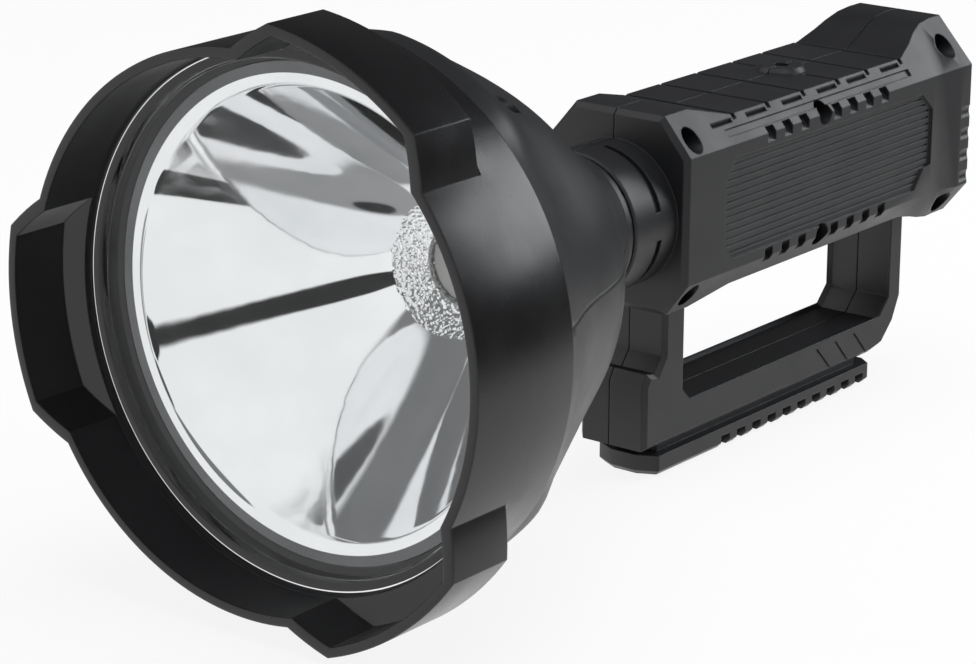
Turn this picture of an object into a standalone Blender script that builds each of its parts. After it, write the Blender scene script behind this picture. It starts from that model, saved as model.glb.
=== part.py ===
"""Handheld LED searchlight with a closed grip, modelled as an assembly of separate pieces.

The beam looks along -Y, +Z is up and +X is the side with the housing screws.
The origin lies on the foot rail's underside, so the light stands on Z = 0.
Every length is in metres.
"""

import math

import bmesh
import bpy
from mathutils import Vector

# Steps and fits
GAP = 0.0003
MERGE = 0.000001
OVERSHOOT = 0.002
ROUND_STEPS = 40
INNER_STEPS = 24
SMALL_STEPS = 16
SCREW_STEPS = 12
LEAD_ROUNDING = 1
SMOOTH_ANGLE = math.radians(32)
FLAT_ANGLE = math.radians(0.02)
MITER_LEAST_SHARE = 0.2
LEAST_TURN_DEGREES = 1.0

# The sizes that drive the rest
AXIS_HEIGHT = 0.0742
BODY_FRONT = -0.0588
BLOCK_REAR = 0.1421
CROWN_RADIUS = 0.0692
NECK_RING_RADIUS = 0.0199
NECK_RING_REAR = 0.1026

# Neck clamped by the two housing halves
NECK_SHOULDER = 0.0039
NECK_RADIUS = NECK_RING_RADIUS - NECK_SHOULDER
NECK_WALL = 0.0035
NECK_BORE_RADIUS = NECK_RADIUS - NECK_WALL
NECK_LENGTH = 0.0164
NECK_REAR = NECK_RING_REAR + NECK_LENGTH
CLAMP_RISE = 0.0020
CLAMP_RADIUS = NECK_RADIUS + CLAMP_RISE
CLAMP_LENGTH = 0.0030
CLAMP_INSET = 0.0020
CLAMP_REAR = NECK_REAR - CLAMP_INSET
CLAMP_FRONT = CLAMP_REAR - CLAMP_LENGTH
NECK_SEAL_LENGTH = 0.0007
NECK_SEAL_INSET = 0.0007

# How far the block's front face lies behind the lens plane
NECK_TO_BLOCK = 0.0033
HEAD_REACH = NECK_REAR + NECK_TO_BLOCK
LENS_PLANE = BODY_FRONT - HEAD_REACH

# Crown with its three lugs
CROWN_FRONT = -0.0251
CROWN_REAR = 0.0105
CROWN_WALL = 0.0028
CROWN_EDGE = 0.0006
CROWN_BORE = CROWN_RADIUS - CROWN_WALL
LUG_RISE = 0.0076
LUG_REAR = -0.0050
LUG_REAR_SLOPE = 0.0013
LUG_BEARINGS = (24.0, 143.5, 263.5)
LUG_TOP_HALF = 17.7
LUG_FOOT_HALF = 26.2
LUG_WALL_TOP = 1.4
LUG_WALL_FOOT = 1.7
LUG_POCKET_REAR = -0.0088
POCKET_STEP = 0.0001
POCKET_DRAFT_SHARE = 0.98
SHELF_FRONT = 0.0015
SHELF_THICK = 0.0025
BEAD_FRONT = -0.0080
BEAD_LENGTH = 0.0011
BEAD_RISE = 0.0006

# Lens, its seal and its retaining ring
SEAL_WALL = 0.0022
LENS_RADIUS = CROWN_BORE - SEAL_WALL - 2.0 * GAP
LENS_FRONT = -0.0039
LENS_BACK = -0.0003
LENS_EDGE = 0.0005
SEAL_LIP = 0.0018
SEAL_LIP_RADIUS = LENS_RADIUS - SEAL_LIP
SEAL_REAR = 0.0012
RETAINER_LENGTH = 0.0024
RETAINER_LAP = 0.0007
SHELF_LAP = 0.0023
SHELF_RADIUS = SEAL_LIP_RADIUS - SHELF_LAP

# Reflector: its wall bends from a parabola towards a cone
FLANGE_RADIUS = SEAL_LIP_RADIUS - GAP
FLANGE_THICK = 0.0012
FLANGE_WIDTH = 0.0051
DISH_RADIUS = FLANGE_RADIUS - FLANGE_WIDTH
DISH_DEPTH = 0.0569
DISH_CONE_SHARE = 0.4
DISH_WALL = 0.0016
DISH_POINTS = 8
LAMP_HOLE_RADIUS = 0.0109
DISH_COLLAR_WALL = 0.0026
DISH_COLLAR_RADIUS = LAMP_HOLE_RADIUS + DISH_COLLAR_WALL
DISH_COLLAR_LENGTH = 0.0033
DISH_COLLAR_REAR = DISH_DEPTH + DISH_COLLAR_LENGTH

# Rear bowl: shares of its length, and of its fall to the neck ring on a lobe and between lobes
BOWL_SPIGOT_FRONT = SHELF_FRONT + SHELF_THICK + GAP
BOWL_SPIGOT_WALL = 0.0022
BOWL_SPIGOT_RADIUS = CROWN_BORE - GAP
BOWL_START = CROWN_REAR + GAP
NECK_RING_LENGTH = 0.0046
BOWL_END = NECK_RING_REAR - NECK_RING_LENGTH
BOWL_OUTLINE_SHARE = (
    (0.000, 0.985, 0.985), (0.084, 0.980, 0.913), (0.188, 0.884, 0.819), (0.293, 0.795, 0.740),
    (0.397, 0.704, 0.677), (0.502, 0.600, 0.606), (0.606, 0.477, 0.509), (0.711, 0.337, 0.379),
    (0.815, 0.221, 0.245), (0.914, 0.118, 0.138), (1.000, 0.040, 0.040),
)
BOWL_WALL = 0.0026
LOBE_HALF = 14.0
LOBE_EDGE = 16.0

# Screws in the lobes that pull the bowl against the crown's shelf
HEAD_SCREW_TURN = 10.0
HEAD_SCREW_CIRCLE = (SHELF_RADIUS + CROWN_BORE) / 2.0
BOSS_RADIUS = 0.0043
BOSS_LENGTH = 0.0437
BOSS_REAR = BOWL_SPIGOT_FRONT + BOSS_LENGTH
BOSS_SEAT = 0.0097
HEAD_SCREW_SEAT = BOWL_SPIGOT_FRONT + BOSS_SEAT
HEAD_SCREW_WELL_RADIUS = 0.0031
HEAD_SCREW_TIP = SHELF_FRONT + 2.0 * GAP

# Lamp and heat sink
STAR_RADIUS = LAMP_HOLE_RADIUS - 2.0 * GAP
STAR_THICK = 0.0016
LAMP_BASE_RADIUS = 0.0036
LAMP_BASE_HEIGHT = 0.0010
LAMP_DOME_HEIGHT = 0.0022
LAMP_DOME_STEPS = 5
SINK_STEP = 0.0021
SINK_BASE = 0.0032
SINK_CORE_RADIUS = 0.0080
SINK_FIN_THICK = 0.0016
SINK_FIN_PITCH = 0.0046
SINK_FINS = 4
SINK_REAR = DISH_COLLAR_REAR + GAP + SINK_BASE + SINK_FIN_PITCH * SINK_FINS
SINK_RADIUS = NECK_RING_RADIUS + SINK_STEP
LEAD_RADIUS = 0.0009
LEAD_SPACING = 0.0034
LEAD_SWAY = 0.0022
LEAD_POINTS = 12

# Housing block: half widths and heights above the lamp axis
SEAM_X = -0.0010
HOUSING_WALL = 0.0026
BLOCK_HALF = 0.0228
BLOCK_TOP = 0.0278
BLOCK_BOTTOM = -0.0259
CHAMFER_RUN = 0.0087
CHAMFER_DROP = 0.0102
BLOCK_TOP_HALF = BLOCK_HALF - CHAMFER_RUN
UPPER_CORNER = BLOCK_TOP - CHAMFER_DROP
UNDER_RUN = 0.0070
UNDER_RISE = 0.0091
BLOCK_BOTTOM_HALF = BLOCK_HALF - UNDER_RUN
LOWER_CORNER = BLOCK_BOTTOM + UNDER_RISE
FRONT_BEVEL = 0.0013
FRONT_BEVEL_INSET = 0.0015
WAIST_START = 0.0113
WAIST_FULL = 0.0269
WAIST_DROP = 0.0038
WAIST_TOP = BLOCK_TOP - WAIST_DROP
WAIST_LIFT = 0.0034
WAIST_BOTTOM = BLOCK_BOTTOM + WAIST_LIFT
WAIST_UNDER_RUN = 0.0044
WAIST_BOTTOM_HALF = BLOCK_HALF - WAIST_UNDER_RUN
WAIST_BEHIND = 0.0289
WAIST_END = BLOCK_REAR - WAIST_BEHIND

# Flare at the rear: how far before the rear face, and its share of the rise
FLARE_RAMP = ((0.0223, 0.373), (0.0185, 0.667), (0.0134, 0.920))
FLARE_LENGTH = 0.0076
FLARE_FULL = BLOCK_REAR - FLARE_LENGTH
FLARE_LIFT = 0.0037
FLARE_TOP = BLOCK_TOP + FLARE_LIFT
FLARE_SPREAD = 0.0022
FLARE_HALF = BLOCK_HALF + FLARE_SPREAD
FLARE_TOP_RUN = 0.0116
FLARE_TOP_HALF = FLARE_HALF - FLARE_TOP_RUN
FLARE_CORNER_LIFT = 0.0010
FLARE_UPPER_CORNER = UPPER_CORNER + FLARE_CORNER_LIFT
FLARE_UNDER_RUN = 0.0074
FLARE_BOTTOM_HALF = FLARE_HALF - FLARE_UNDER_RUN
REAR_BEVEL = 0.0017

# Collar round the neck
COLLAR_FRONT = NECK_RING_REAR + NECK_SEAL_LENGTH + 2.0 * GAP
COLLAR_RADIUS = NECK_RING_RADIUS
COLLAR_BORE_RADIUS = NECK_RADIUS + GAP
COLLAR_EDGE = 0.0005
COLLAR_ROOT = 0.0060
COLLAR_SLOT_SETBACK = 0.0095
COLLAR_SLOT_LENGTH = 0.0021
COLLAR_SLOT_DEPTH = 0.0013
COLLAR_SLOT_SPANS = ((6.0, 76.0), (98.0, 150.0))
COLLAR_SLOT_STEPS = 12

# Legs and grip bar: places behind the block's front, heights above the bar's underside
BAR_LIFT = 0.0091
BAR_BOTTOM = BAR_LIFT - AXIS_HEIGHT
GRIP_HALF = 0.0108
GRIP_BEVEL = 0.0012
GRIP_ROOT = -0.0120
TOE_STEP = ((0.0086, 0.0249), (0.0053, 0.0207), (0.0017, 0.0214), (-0.0002, 0.0181))
HEEL = ((0.0281, 0.0000), (0.0218, 0.0011), (0.0159, 0.0067), (0.0122, 0.0141))
LOOP_FRONT = 0.0160
LOOP_BEHIND = 0.0180
LOOP_REAR = BLOCK_REAR - LOOP_BEHIND
BAR_HEIGHT = 0.0090
LOOP_FLOOR = BAR_BOTTOM + BAR_HEIGHT
LOOP_CORNER = 0.0043
LOOP_CORNER_REAR = 0.0056
LOOP_ROOT = 0.0010
LOOP_CEILING = WAIST_BOTTOM + LOOP_ROOT
HEEL_GROOVES = ((0.0581, 0.0502), (0.0483, 0.0409), (0.0384, 0.0308))
HEEL_GROOVE_TOP = 0.0083
HEEL_GROOVE_BOTTOM = 0.0004
HEEL_GROOVE_WIDTH = 0.0009
HEEL_GROOVE_DEPTH = 0.0006

# Ribbed panel let into each side: its front corners, and its rear ones before the rear face
PANEL_FRONT = ((0.0224, 0.0139), (0.0178, 0.0075), (0.0184, -0.0104), (0.0218, -0.0136))
PANEL_REAR = (
    (0.0278, -0.0143), (0.0230, -0.0087), (0.0191, -0.0081), (0.0189, 0.0081), (0.0247, 0.0133),
)
PANEL_DEPTH = 0.0007
PANEL_RIB_PITCH = 0.0020
PANEL_RIBS = 13
PANEL_RIB_GAP = 0.0006
PANEL_RIB_DEPTH = 0.0005
PANEL_MARGIN = 0.0012

# Teeth along the block's side corners
TOOTH_FIRST = 0.0394
TOOTH_BEHIND = 0.0453
TOOTH_PLACES = (0, 1, 2, 4, 5, 6, 7)
TOOTH_LENGTH = 0.0038
TOOTH_SIZE = 0.0040
TOOTH_DEPTH = 0.0036
TOOTH_PITCH = (BLOCK_REAR - TOOTH_BEHIND - TOOTH_FIRST) / TOOTH_PLACES[-1]

# Sunk band along each upper chamfer, placed by shares of the chamfer's width
BAND_START = 0.0210
BAND_LOW_SHARE = 0.30
BAND_HIGH_SHARE = 0.56
BAND_DEPTH = 0.0006

# Grooves across the saddle by shares of its length, each with a slit beside its end
TOP_GROOVE_SHARES = (0.010, 0.200, 0.402, 0.605, 0.781, 0.985)
TOP_GROOVE_WIDTH = 0.0016
TOP_GROOVE_DEPTH = 0.0013
TOP_GROOVE_END = 0.0042
TOP_GROOVE_CLEAR = 0.0012
SLIT_SHARE = 0.1101
SLIT_LENGTH = (WAIST_END - WAIST_FULL) * SLIT_SHARE
SLIT_WIDTH = 0.0008
SLIT_INSET = 0.0045
SLIT_BEFORE = 0.0009
SLIT_DEPTH = 0.0018
TOP_GROOVE_HALF = BLOCK_HALF - TOP_GROOVE_END
SLIT_X = BLOCK_HALF - SLIT_INSET

# Strap boss on the top seam
STRAP_BOSS_SHARE = 0.612
STRAP_BOSS_RADIUS = 0.0068
STRAP_BOSS_TAPER = 0.00095
STRAP_BOSS_RISE = 0.0015
STRAP_BOSS_SIDES = 12
STRAP_BOSS_PLACE = WAIST_FULL + (WAIST_END - WAIST_FULL) * STRAP_BOSS_SHARE
STRAP_BOSS_TOP = WAIST_TOP + STRAP_BOSS_RISE
STRAP_HOLE_RADIUS = 0.0022
STRAP_HOLE_DEPTH = 0.0035

# Scallops down the rear edge
SCALLOP_COUNT = 4
SCALLOP_FIRST = 0.0049
SCALLOP_PITCH = 0.0064
SCALLOP_RADIUS = 0.0022
SCALLOP_DEPTH = 0.0008

# Hollow inside the housing
CAVITY_START = 0.0120
CAVITY_BEHIND = 0.0151
CAVITY_END = BLOCK_REAR - CAVITY_BEHIND
PASSAGE_RADIUS = 0.0080
BORE_CLEAR = 0.0012
BORE_END = NECK_REAR + BORE_CLEAR - HEAD_REACH

# Cells and their spacers
CELL_APART = 0.0007
CELL_CLEAR = 0.0013
CELL_RADIUS = (BLOCK_HALF - HOUSING_WALL - CELL_CLEAR - CELL_APART) / 2.0
CELL_SPACING = CELL_RADIUS + CELL_APART
CELL_LENGTH = 0.0500
CELL_BEHIND = 0.0696
CELL_START = BLOCK_REAR - CELL_BEHIND
CELL_CAP_RADIUS = 0.0030
CELL_CAP_LENGTH = 0.0008
CELL_STEPS = 20
SPACER_LENGTH = 0.0040
SPACER_FRONT = 0.0060
SPACER_REAR = 0.0400

# Screws that hold the halves together, side view positions
SCREW_FRONT = 0.0060
SCREW_FRONT_DROP = 0.0066
SCREW_FRONT_LIFT = 0.0051
SCREW_MIDDLE_BEFORE = 0.0065
SCREW_MIDDLE = CELL_START - SCREW_MIDDLE_BEFORE
SCREW_REAR_BEFORE = 0.0087
SCREW_REAR = BLOCK_REAR - SCREW_REAR_BEFORE
SCREW_REAR_DROP = 0.0072
SCREW_REAR_LIFT = 0.0040
BODY_SCREWS = (
    ("front_top", SCREW_FRONT, BLOCK_TOP - SCREW_FRONT_DROP),
    ("front_bottom", SCREW_FRONT, BLOCK_BOTTOM + SCREW_FRONT_LIFT),
    ("mid_top", SCREW_MIDDLE, UPPER_CORNER),
    ("mid_bottom", SCREW_MIDDLE, LOWER_CORNER),
    ("rear_top", SCREW_REAR, FLARE_TOP - SCREW_REAR_DROP),
    ("rear_bottom", SCREW_REAR, BLOCK_BOTTOM + SCREW_REAR_LIFT),
)
CHAMBER_BOSS_RADIUS = 0.0042
WELL_RADIUS = 0.0032
WELL_FLOOR = 0.0090
SCREW_HEAD_RADIUS = 0.0027
SCREW_HEAD_LENGTH = 0.0022
SCREW_SHANK_RADIUS = 0.0013
SCREW_SHANK_LENGTH = 0.0170
SCREW_HOLE_RADIUS = 0.0017
SCREW_SLOT_WIDTH = 0.0008
SCREW_SLOT_DEPTH = 0.0010

# Lamp driver board with its coil
DRIVER_PLACE = CAVITY_START + GAP
DRIVER_SHARE = 0.7
DRIVER_RADIUS = (WAIST_TOP - HOUSING_WALL) * DRIVER_SHARE
BOARD_THICK = 0.0016
COIL_RADIUS = 0.0058
COIL_BORE_RADIUS = 0.0022
COIL_LENGTH = 0.0060

# Rear end: pocket, panel, switch and charge socket
POCKET_SIDE = 0.0063
POCKET_HALF = BLOCK_HALF - POCKET_SIDE
POCKET_TOP = 0.0160
POCKET_BOTTOM = -0.0140
POCKET_RIM = 0.0013
RIM_HALF = POCKET_HALF + POCKET_RIM
RIM_TOP = POCKET_TOP + POCKET_RIM
RIM_BOTTOM = POCKET_BOTTOM - POCKET_RIM
CONTROL_BEHIND = 0.0136
CONTROL_PLACE = BLOCK_REAR - CONTROL_BEHIND
REAR_PANEL_THICK = 0.0022
REAR_PANEL_SINK = 0.0012
BUTTON_HEIGHT = 0.0070
BUTTON_RADIUS = 0.0058
BUTTON_CROWN = 0.0010
BUTTON_PROUD = 0.0019
BUTTON_TRAVEL = 0.0010
BUTTON_FLANGE_RADIUS = 0.0068
BUTTON_FLANGE_THICK = 0.0010
SWITCH_HALF = 0.0030
SOCKET_HEIGHT = -0.0060
SOCKET_HALF = 0.0046
SOCKET_HALF_HEIGHT = 0.0017
SOCKET_WALL = 0.0005
SOCKET_FLOOR = 0.0010
FLAP_HALF = 0.0072
FLAP_TOP = 0.0036
FLAP_THICK = 0.0014
FLAP_ARC_STEPS = 8
FLAP_RECESS = 0.0010
PILOT_RADIUS = 0.0015
PILOT_X = 0.0115
PILOT_HEIGHT = 0.0070

# Foot rail under the grip
RAIL_START = 0.0051
RAIL_BEHIND = 0.0251
RAIL_END = BLOCK_REAR - RAIL_BEHIND
RAIL_HALF = 0.0099
RAIL_HEIGHT = 0.0058
RAIL_TOP = RAIL_HEIGHT - AXIS_HEIGHT
RAIL_NECK_HALF = 0.0070
RAIL_NECK_INSET = 0.0060
RAIL_BEVEL = 0.0014
RAIL_NOSE = 0.0030
RAIL_NOSE_SHARE = 0.4
RAIL_TAIL_SHARE = 0.6
RAIL_SLOTS = 10
RAIL_SLOT_FIRST = 0.0381
RAIL_SLOT_BEHIND = 0.0054
RAIL_SLOT_SHARE = 0.55
RAIL_SLOT_RUN = RAIL_END - RAIL_SLOT_BEHIND - RAIL_SLOT_FIRST
RAIL_SLOT_PITCH = RAIL_SLOT_RUN / (RAIL_SLOTS - 1 + RAIL_SLOT_SHARE)
RAIL_SLOT_HEIGHT = 0.0034
RAIL_SLOT_DEPTH = 0.0030
RAIL_SCREW_FRONT = 0.0240
RAIL_SCREW_BEHIND = 0.0180
RAIL_SCREWS = (("front", RAIL_SCREW_FRONT), ("rear", RAIL_END - RAIL_SCREW_BEHIND))
RAIL_WELL_RADIUS = 0.0030
RAIL_WELL_TOP = 0.0036
RAIL_SCREW_LENGTH = 0.0085
RAIL_HOLE_DEPTH = 0.0054


def clear_scene():
    """Take every object out of the file."""
    for item in list(bpy.data.objects):
        bpy.data.objects.remove(item, do_unlink=True)


def look(name, colour, roughness, metallic=0.0, clear=0.0, glow=0.0):
    """A Principled material of one plain finish."""
    material = bpy.data.materials.new(name)
    material.use_nodes = True
    shader = material.node_tree.nodes["Principled BSDF"]
    shader.inputs["Base Color"].default_value = (*colour, 1.0)
    shader.inputs["Roughness"].default_value = roughness
    shader.inputs["Metallic"].default_value = metallic
    shader.inputs["Transmission Weight"].default_value = clear
    shader.inputs["Emission Color"].default_value = (*colour, 1.0)
    shader.inputs["Emission Strength"].default_value = glow
    return material


def head_place(along=0.0, side=0.0, up=0.0):
    """A point given from the lens plane on the lamp axis."""
    return Vector((side, LENS_PLANE + along, AXIS_HEIGHT + up))


def body_place(along=0.0, side=0.0, up=0.0):
    """A point given from the block's front face on the lamp axis."""
    return Vector((side, BODY_FRONT + along, AXIS_HEIGHT + up))


def finish(name, bm, place, material):
    """Close a mesh, turn its faces outward and set it in the scene."""
    bmesh.ops.remove_doubles(bm, verts=bm.verts, dist=MERGE)
    bmesh.ops.recalc_face_normals(bm, faces=bm.faces)
    mesh = bpy.data.meshes.new(name)
    bm.to_mesh(mesh)
    bm.free()
    mesh.shade_smooth()
    mesh.set_sharp_from_angle(angle=SMOOTH_ANGLE)
    item = bpy.data.objects.new(name, mesh)
    item.location = place
    bpy.context.scene.collection.objects.link(item)
    if material:
        mesh.materials.append(material)
    return item


def turn_profile(bm, profile, steps, centre=(0.0, 0.0)):
    """Turn (along, radius) points about a line along Y through the centre (side, up)."""
    side, up = centre
    corners = [bm.verts.new((side + radius, along, up)) for along, radius in profile]
    open_ends = profile[0][1] == 0.0
    followers = corners[1:] if open_ends else corners[1:] + corners[:1]
    edges = [bm.edges.new(pair) for pair in zip(corners, followers)]
    bmesh.ops.spin(
        bm, geom=corners + edges, cent=(side, 0.0, up), axis=(0.0, 1.0, 0.0),
        angle=math.tau, steps=steps, use_merge=True,
    )
    bmesh.ops.remove_doubles(bm, verts=bm.verts, dist=MERGE)


def turned(name, profile, place, material, steps=ROUND_STEPS):
    """One piece turned about its own Y axis."""
    bm = bmesh.new()
    turn_profile(bm, profile, steps)
    return finish(name, bm, place, material)


def rod(bm, start, end, radius, centre=(0.0, 0.0), steps=SMALL_STEPS):
    """A plain cylinder along Y."""
    profile = ((start, 0.0), (start, radius), (end, radius), (end, 0.0))
    turn_profile(bm, profile, steps, centre)


def flatten_faces(bm):
    """Split every bent face into flat ones, so that cuts stay exact."""
    bmesh.ops.recalc_face_normals(bm, faces=bm.faces)
    bmesh.ops.connect_verts_nonplanar(bm, angle_limit=FLAT_ANGLE, faces=bm.faces)


def skin_sections(bm, rings):
    """Join rings of points with quads and close both ends."""
    loops = [[bm.verts.new(point) for point in ring] for ring in rings]
    for near, far in zip(loops, loops[1:]):
        for k, corner in enumerate(near):
            after = (k + 1) % len(near)
            bm.faces.new((corner, near[after], far[after], far[k]))
    bm.faces.new(loops[0])
    bm.faces.new(loops[-1])


def along_y(bm, sections):
    """A solid through (along, outline) sections whose outlines are (side, up) points."""
    skin_sections(bm, [[(x, along, z) for x, z in outline] for along, outline in sections])


def across_x(bm, sections):
    """A solid through (side, outline) sections whose outlines are (along, up) points."""
    skin_sections(bm, [[(side, y, z) for y, z in outline] for side, outline in sections])


def upright_z(bm, sections):
    """A solid through (up, outline) sections whose outlines are (side, along) points."""
    skin_sections(bm, [[(x, y, up) for x, y in outline] for up, outline in sections])


def rectangle(low_a, high_a, low_b, high_b):
    """Four corners of a rectangle, in turn."""
    return [(low_a, low_b), (high_a, low_b), (high_a, high_b), (low_a, high_b)]


def inset(outline, distance):
    """Move each side of a flat outline inward, or outward for a negative distance."""
    count = len(outline)
    area = sum(
        a[0] * b[1] - b[0] * a[1] for a, b in zip(outline, outline[1:] + outline[:1])
    )
    turn = math.copysign(distance, area)
    moved = []
    for k, point in enumerate(outline):
        here = Vector(point)
        back = (here - Vector(outline[k - 1])).normalized()
        ahead = (Vector(outline[(k + 1) % count]) - here).normalized()
        back_in = Vector((-back.y, back.x))
        ahead_in = Vector((-ahead.y, ahead.x))
        miter = back_in + ahead_in
        miter = miter / max(miter.dot(back_in), MITER_LEAST_SHARE)
        moved.append(tuple(here + miter * turn))
    return moved


def circle(radius, steps, centre=(0.0, 0.0)):
    """Points round a circle in a flat outline."""
    a, b = centre
    turns = [math.tau * k / steps for k in range(steps)]
    return [(a + radius * math.sin(turn), b + radius * math.cos(turn)) for turn in turns]


def boolean(item, tool, operation="DIFFERENCE", overlaps=False):
    """Cut or join with an exact Boolean that stays on the object."""
    step = item.modifiers.new(tool.name, "BOOLEAN")
    step.operation = operation
    step.solver = "EXACT"
    step.use_self = overlaps
    step.object = tool
    tool.hide_render = True
    tool.display_type = "WIRE"


def bearing_gap(bearing, centre):
    """The angle between two bearings, in degrees."""
    return abs((bearing - centre + 180.0) % 360.0 - 180.0)


def lug_share(bearing, top_half, foot_half):
    """How far up a lug's flank a bearing lies: 0 beside it, 1 on its top."""
    nearest = min(bearing_gap(bearing, centre) for centre in LUG_BEARINGS)
    return min(1.0, max(0.0, (foot_half - nearest) / (foot_half - top_half)))


def lobe_share(bearing):
    """1 on the lobe behind a lug, 0 in the valley between two lobes."""
    nearest = min(bearing_gap(bearing, centre) for centre in LUG_BEARINGS)
    rise = min(1.0, max(0.0, (LOBE_HALF + LOBE_EDGE - nearest) / LOBE_EDGE))
    return rise * rise * (3.0 - 2.0 * rise)


def crown_section(bearing):
    """The crown's closed profile at one bearing."""
    outer = CROWN_RADIUS + LUG_RISE * lug_share(bearing, LUG_TOP_HALF, LUG_FOOT_HALF)
    bore = CROWN_BORE
    inner_share = lug_share(bearing, LUG_TOP_HALF - LUG_WALL_TOP, LUG_FOOT_HALF - LUG_WALL_FOOT)
    inner = bore + LUG_RISE * inner_share
    shelf_rear = SHELF_FRONT + SHELF_THICK
    bead_rear = BEAD_FRONT + BEAD_LENGTH
    return (
        (CROWN_FRONT, outer - CROWN_EDGE),
        (CROWN_FRONT + CROWN_EDGE, outer),
        (LUG_REAR, outer),
        (LUG_REAR + LUG_REAR_SLOPE, CROWN_RADIUS),
        (CROWN_REAR, CROWN_RADIUS),
        (CROWN_REAR, bore),
        (shelf_rear, bore),
        (shelf_rear, SHELF_RADIUS),
        (SHELF_FRONT, SHELF_RADIUS),
        (SHELF_FRONT, bore),
        (bead_rear, bore),
        (BEAD_FRONT + BEAD_LENGTH / 2.0, bore - BEAD_RISE),
        (BEAD_FRONT, bore),
        (LUG_POCKET_REAR, bore),
        (LUG_POCKET_REAR, bore + (inner - bore) * POCKET_DRAFT_SHARE + POCKET_STEP),
        (CROWN_FRONT + CROWN_EDGE, inner + POCKET_STEP),
        (CROWN_FRONT, inner + CROWN_EDGE),
    )


def crown_bearings():
    """Even steps round the crown, and the corners of every lug inside and out."""
    bearings = {round(360.0 * k / ROUND_STEPS, 2) for k in range(ROUND_STEPS)}
    corners = set()
    for centre in LUG_BEARINGS:
        for half in (
            LUG_TOP_HALF, LUG_FOOT_HALF, LUG_TOP_HALF - LUG_WALL_TOP, LUG_FOOT_HALF - LUG_WALL_FOOT,
        ):
            corners.add(round((centre - half) % 360.0, 2))
            corners.add(round((centre + half) % 360.0, 2))
    kept = {b for b in bearings if min(bearing_gap(b, c) for c in corners) > LEAST_TURN_DEGREES}
    return sorted(kept | corners)


def crown_bezel(black):
    """The shade in front of the lens: a ring whose wall steps out into three hollow lugs."""
    bm = bmesh.new()
    rings = []
    for bearing in crown_bearings():
        turn = math.radians(bearing)
        section = crown_section(bearing)
        rings.append(
            [bm.verts.new((r * math.sin(turn), along, r * math.cos(turn))) for along, r in section]
        )
    for near, far in zip(rings, rings[1:] + rings[:1]):
        for k in range(len(near)):
            after = (k + 1) % len(near)
            bm.faces.new((near[k], near[after], far[after], far[k]))
    flatten_faces(bm)
    item = finish("crown_bezel", bm, head_place(), black)
    holes = bmesh.new()
    for centre in head_screw_centres():
        rod(holes, SHELF_FRONT - GAP, SHELF_FRONT + SHELF_THICK + GAP, SCREW_HOLE_RADIUS, centre)
    boolean(item, finish("cut_crown_pilots", holes, head_place(), None))
    return item


def front_lens(glass):
    """The clear disc that closes the head."""
    rim = LENS_RADIUS - LENS_EDGE
    profile = (
        (LENS_FRONT, 0.0), (LENS_FRONT, rim), (LENS_FRONT + LENS_EDGE, LENS_RADIUS),
        (LENS_BACK, LENS_RADIUS), (LENS_BACK, 0.0),
    )
    return turned("front_lens", profile, head_place(), glass)


def lens_seal(rubber):
    """An L-shaped seal round the lens and between it and the crown's shelf."""
    outer = CROWN_BORE - GAP
    inner = LENS_RADIUS + GAP
    profile = (
        (LENS_FRONT, inner), (LENS_FRONT, outer), (SEAL_REAR, outer), (SEAL_REAR, SEAL_LIP_RADIUS),
        (0.0, SEAL_LIP_RADIUS), (0.0, inner),
    )
    return turned("lens_seal", profile, head_place(), rubber)


def lens_retainer(black):
    """The thin ring that snaps in front of the lens, behind the crown's bead."""
    rear = LENS_FRONT - GAP
    front = rear - RETAINER_LENGTH
    outer = CROWN_BORE - GAP
    inner = LENS_RADIUS - RETAINER_LAP
    profile = ((front, inner + RETAINER_LAP), (front, outer), (rear, outer), (rear, inner))
    return turned("lens_retainer", profile, head_place(), black)


def dish_point(depth):
    """The dish's radius at one depth behind the rim, and how fast the radius falls there."""
    bend = DISH_CONE_SHARE * DISH_DEPTH
    fall = (DISH_RADIUS ** 2 - LAMP_HOLE_RADIUS ** 2) / DISH_DEPTH + bend
    radius = math.sqrt(DISH_RADIUS ** 2 - fall * depth + DISH_CONE_SHARE * depth ** 2)
    return radius, (fall - 2.0 * DISH_CONE_SHARE * depth) / (2.0 * radius)


def dish_hollow(front):
    """The space in front of the dish, and the lamp hole through its collar."""
    profile = [(-OVERSHOOT, 0.0), (-OVERSHOOT, DISH_RADIUS)] + front
    profile += [(DISH_COLLAR_REAR + OVERSHOOT, LAMP_HOLE_RADIUS)]
    profile += [(DISH_COLLAR_REAR + OVERSHOOT, 0.0)]
    return turned("cut_dish", profile, head_place(), None)


def reflector(chrome):
    """The deep chromed dish: a bent parabola in front, an even wall behind, a flange, a collar."""
    front = []
    back = []
    for k in range(DISH_POINTS + 1):
        depth = DISH_DEPTH * k / DISH_POINTS
        radius, fall = dish_point(depth)
        away = Vector((fall, 1.0)).normalized()
        front.append((depth, radius))
        back.append((depth + DISH_WALL * away.x, radius + DISH_WALL * away.y))
    back = [point for point in back if point[0] > FLANGE_THICK]
    back = [point for point in back if point[1] > DISH_COLLAR_RADIUS + DISH_WALL]
    blank = [(0.0, 0.0), (0.0, FLANGE_RADIUS), (FLANGE_THICK, FLANGE_RADIUS)]
    blank += [(FLANGE_THICK, DISH_RADIUS + DISH_WALL)] + back
    blank += [(DISH_DEPTH, DISH_COLLAR_RADIUS), (DISH_COLLAR_REAR, DISH_COLLAR_RADIUS)]
    blank += [(DISH_COLLAR_REAR, 0.0)]
    item = turned("reflector", blank, head_place(), chrome)
    boolean(item, dish_hollow(front))
    return item


def bowl_outline():
    """The bowl's outside behind a lug, as (along, radius) points."""
    length = BOWL_END - BOWL_START
    fall = CROWN_RADIUS - NECK_RING_RADIUS
    return [
        (BOWL_START + length * share, NECK_RING_RADIUS + fall * lobe)
        for share, lobe, _ in BOWL_OUTLINE_SHARE
    ]


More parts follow.
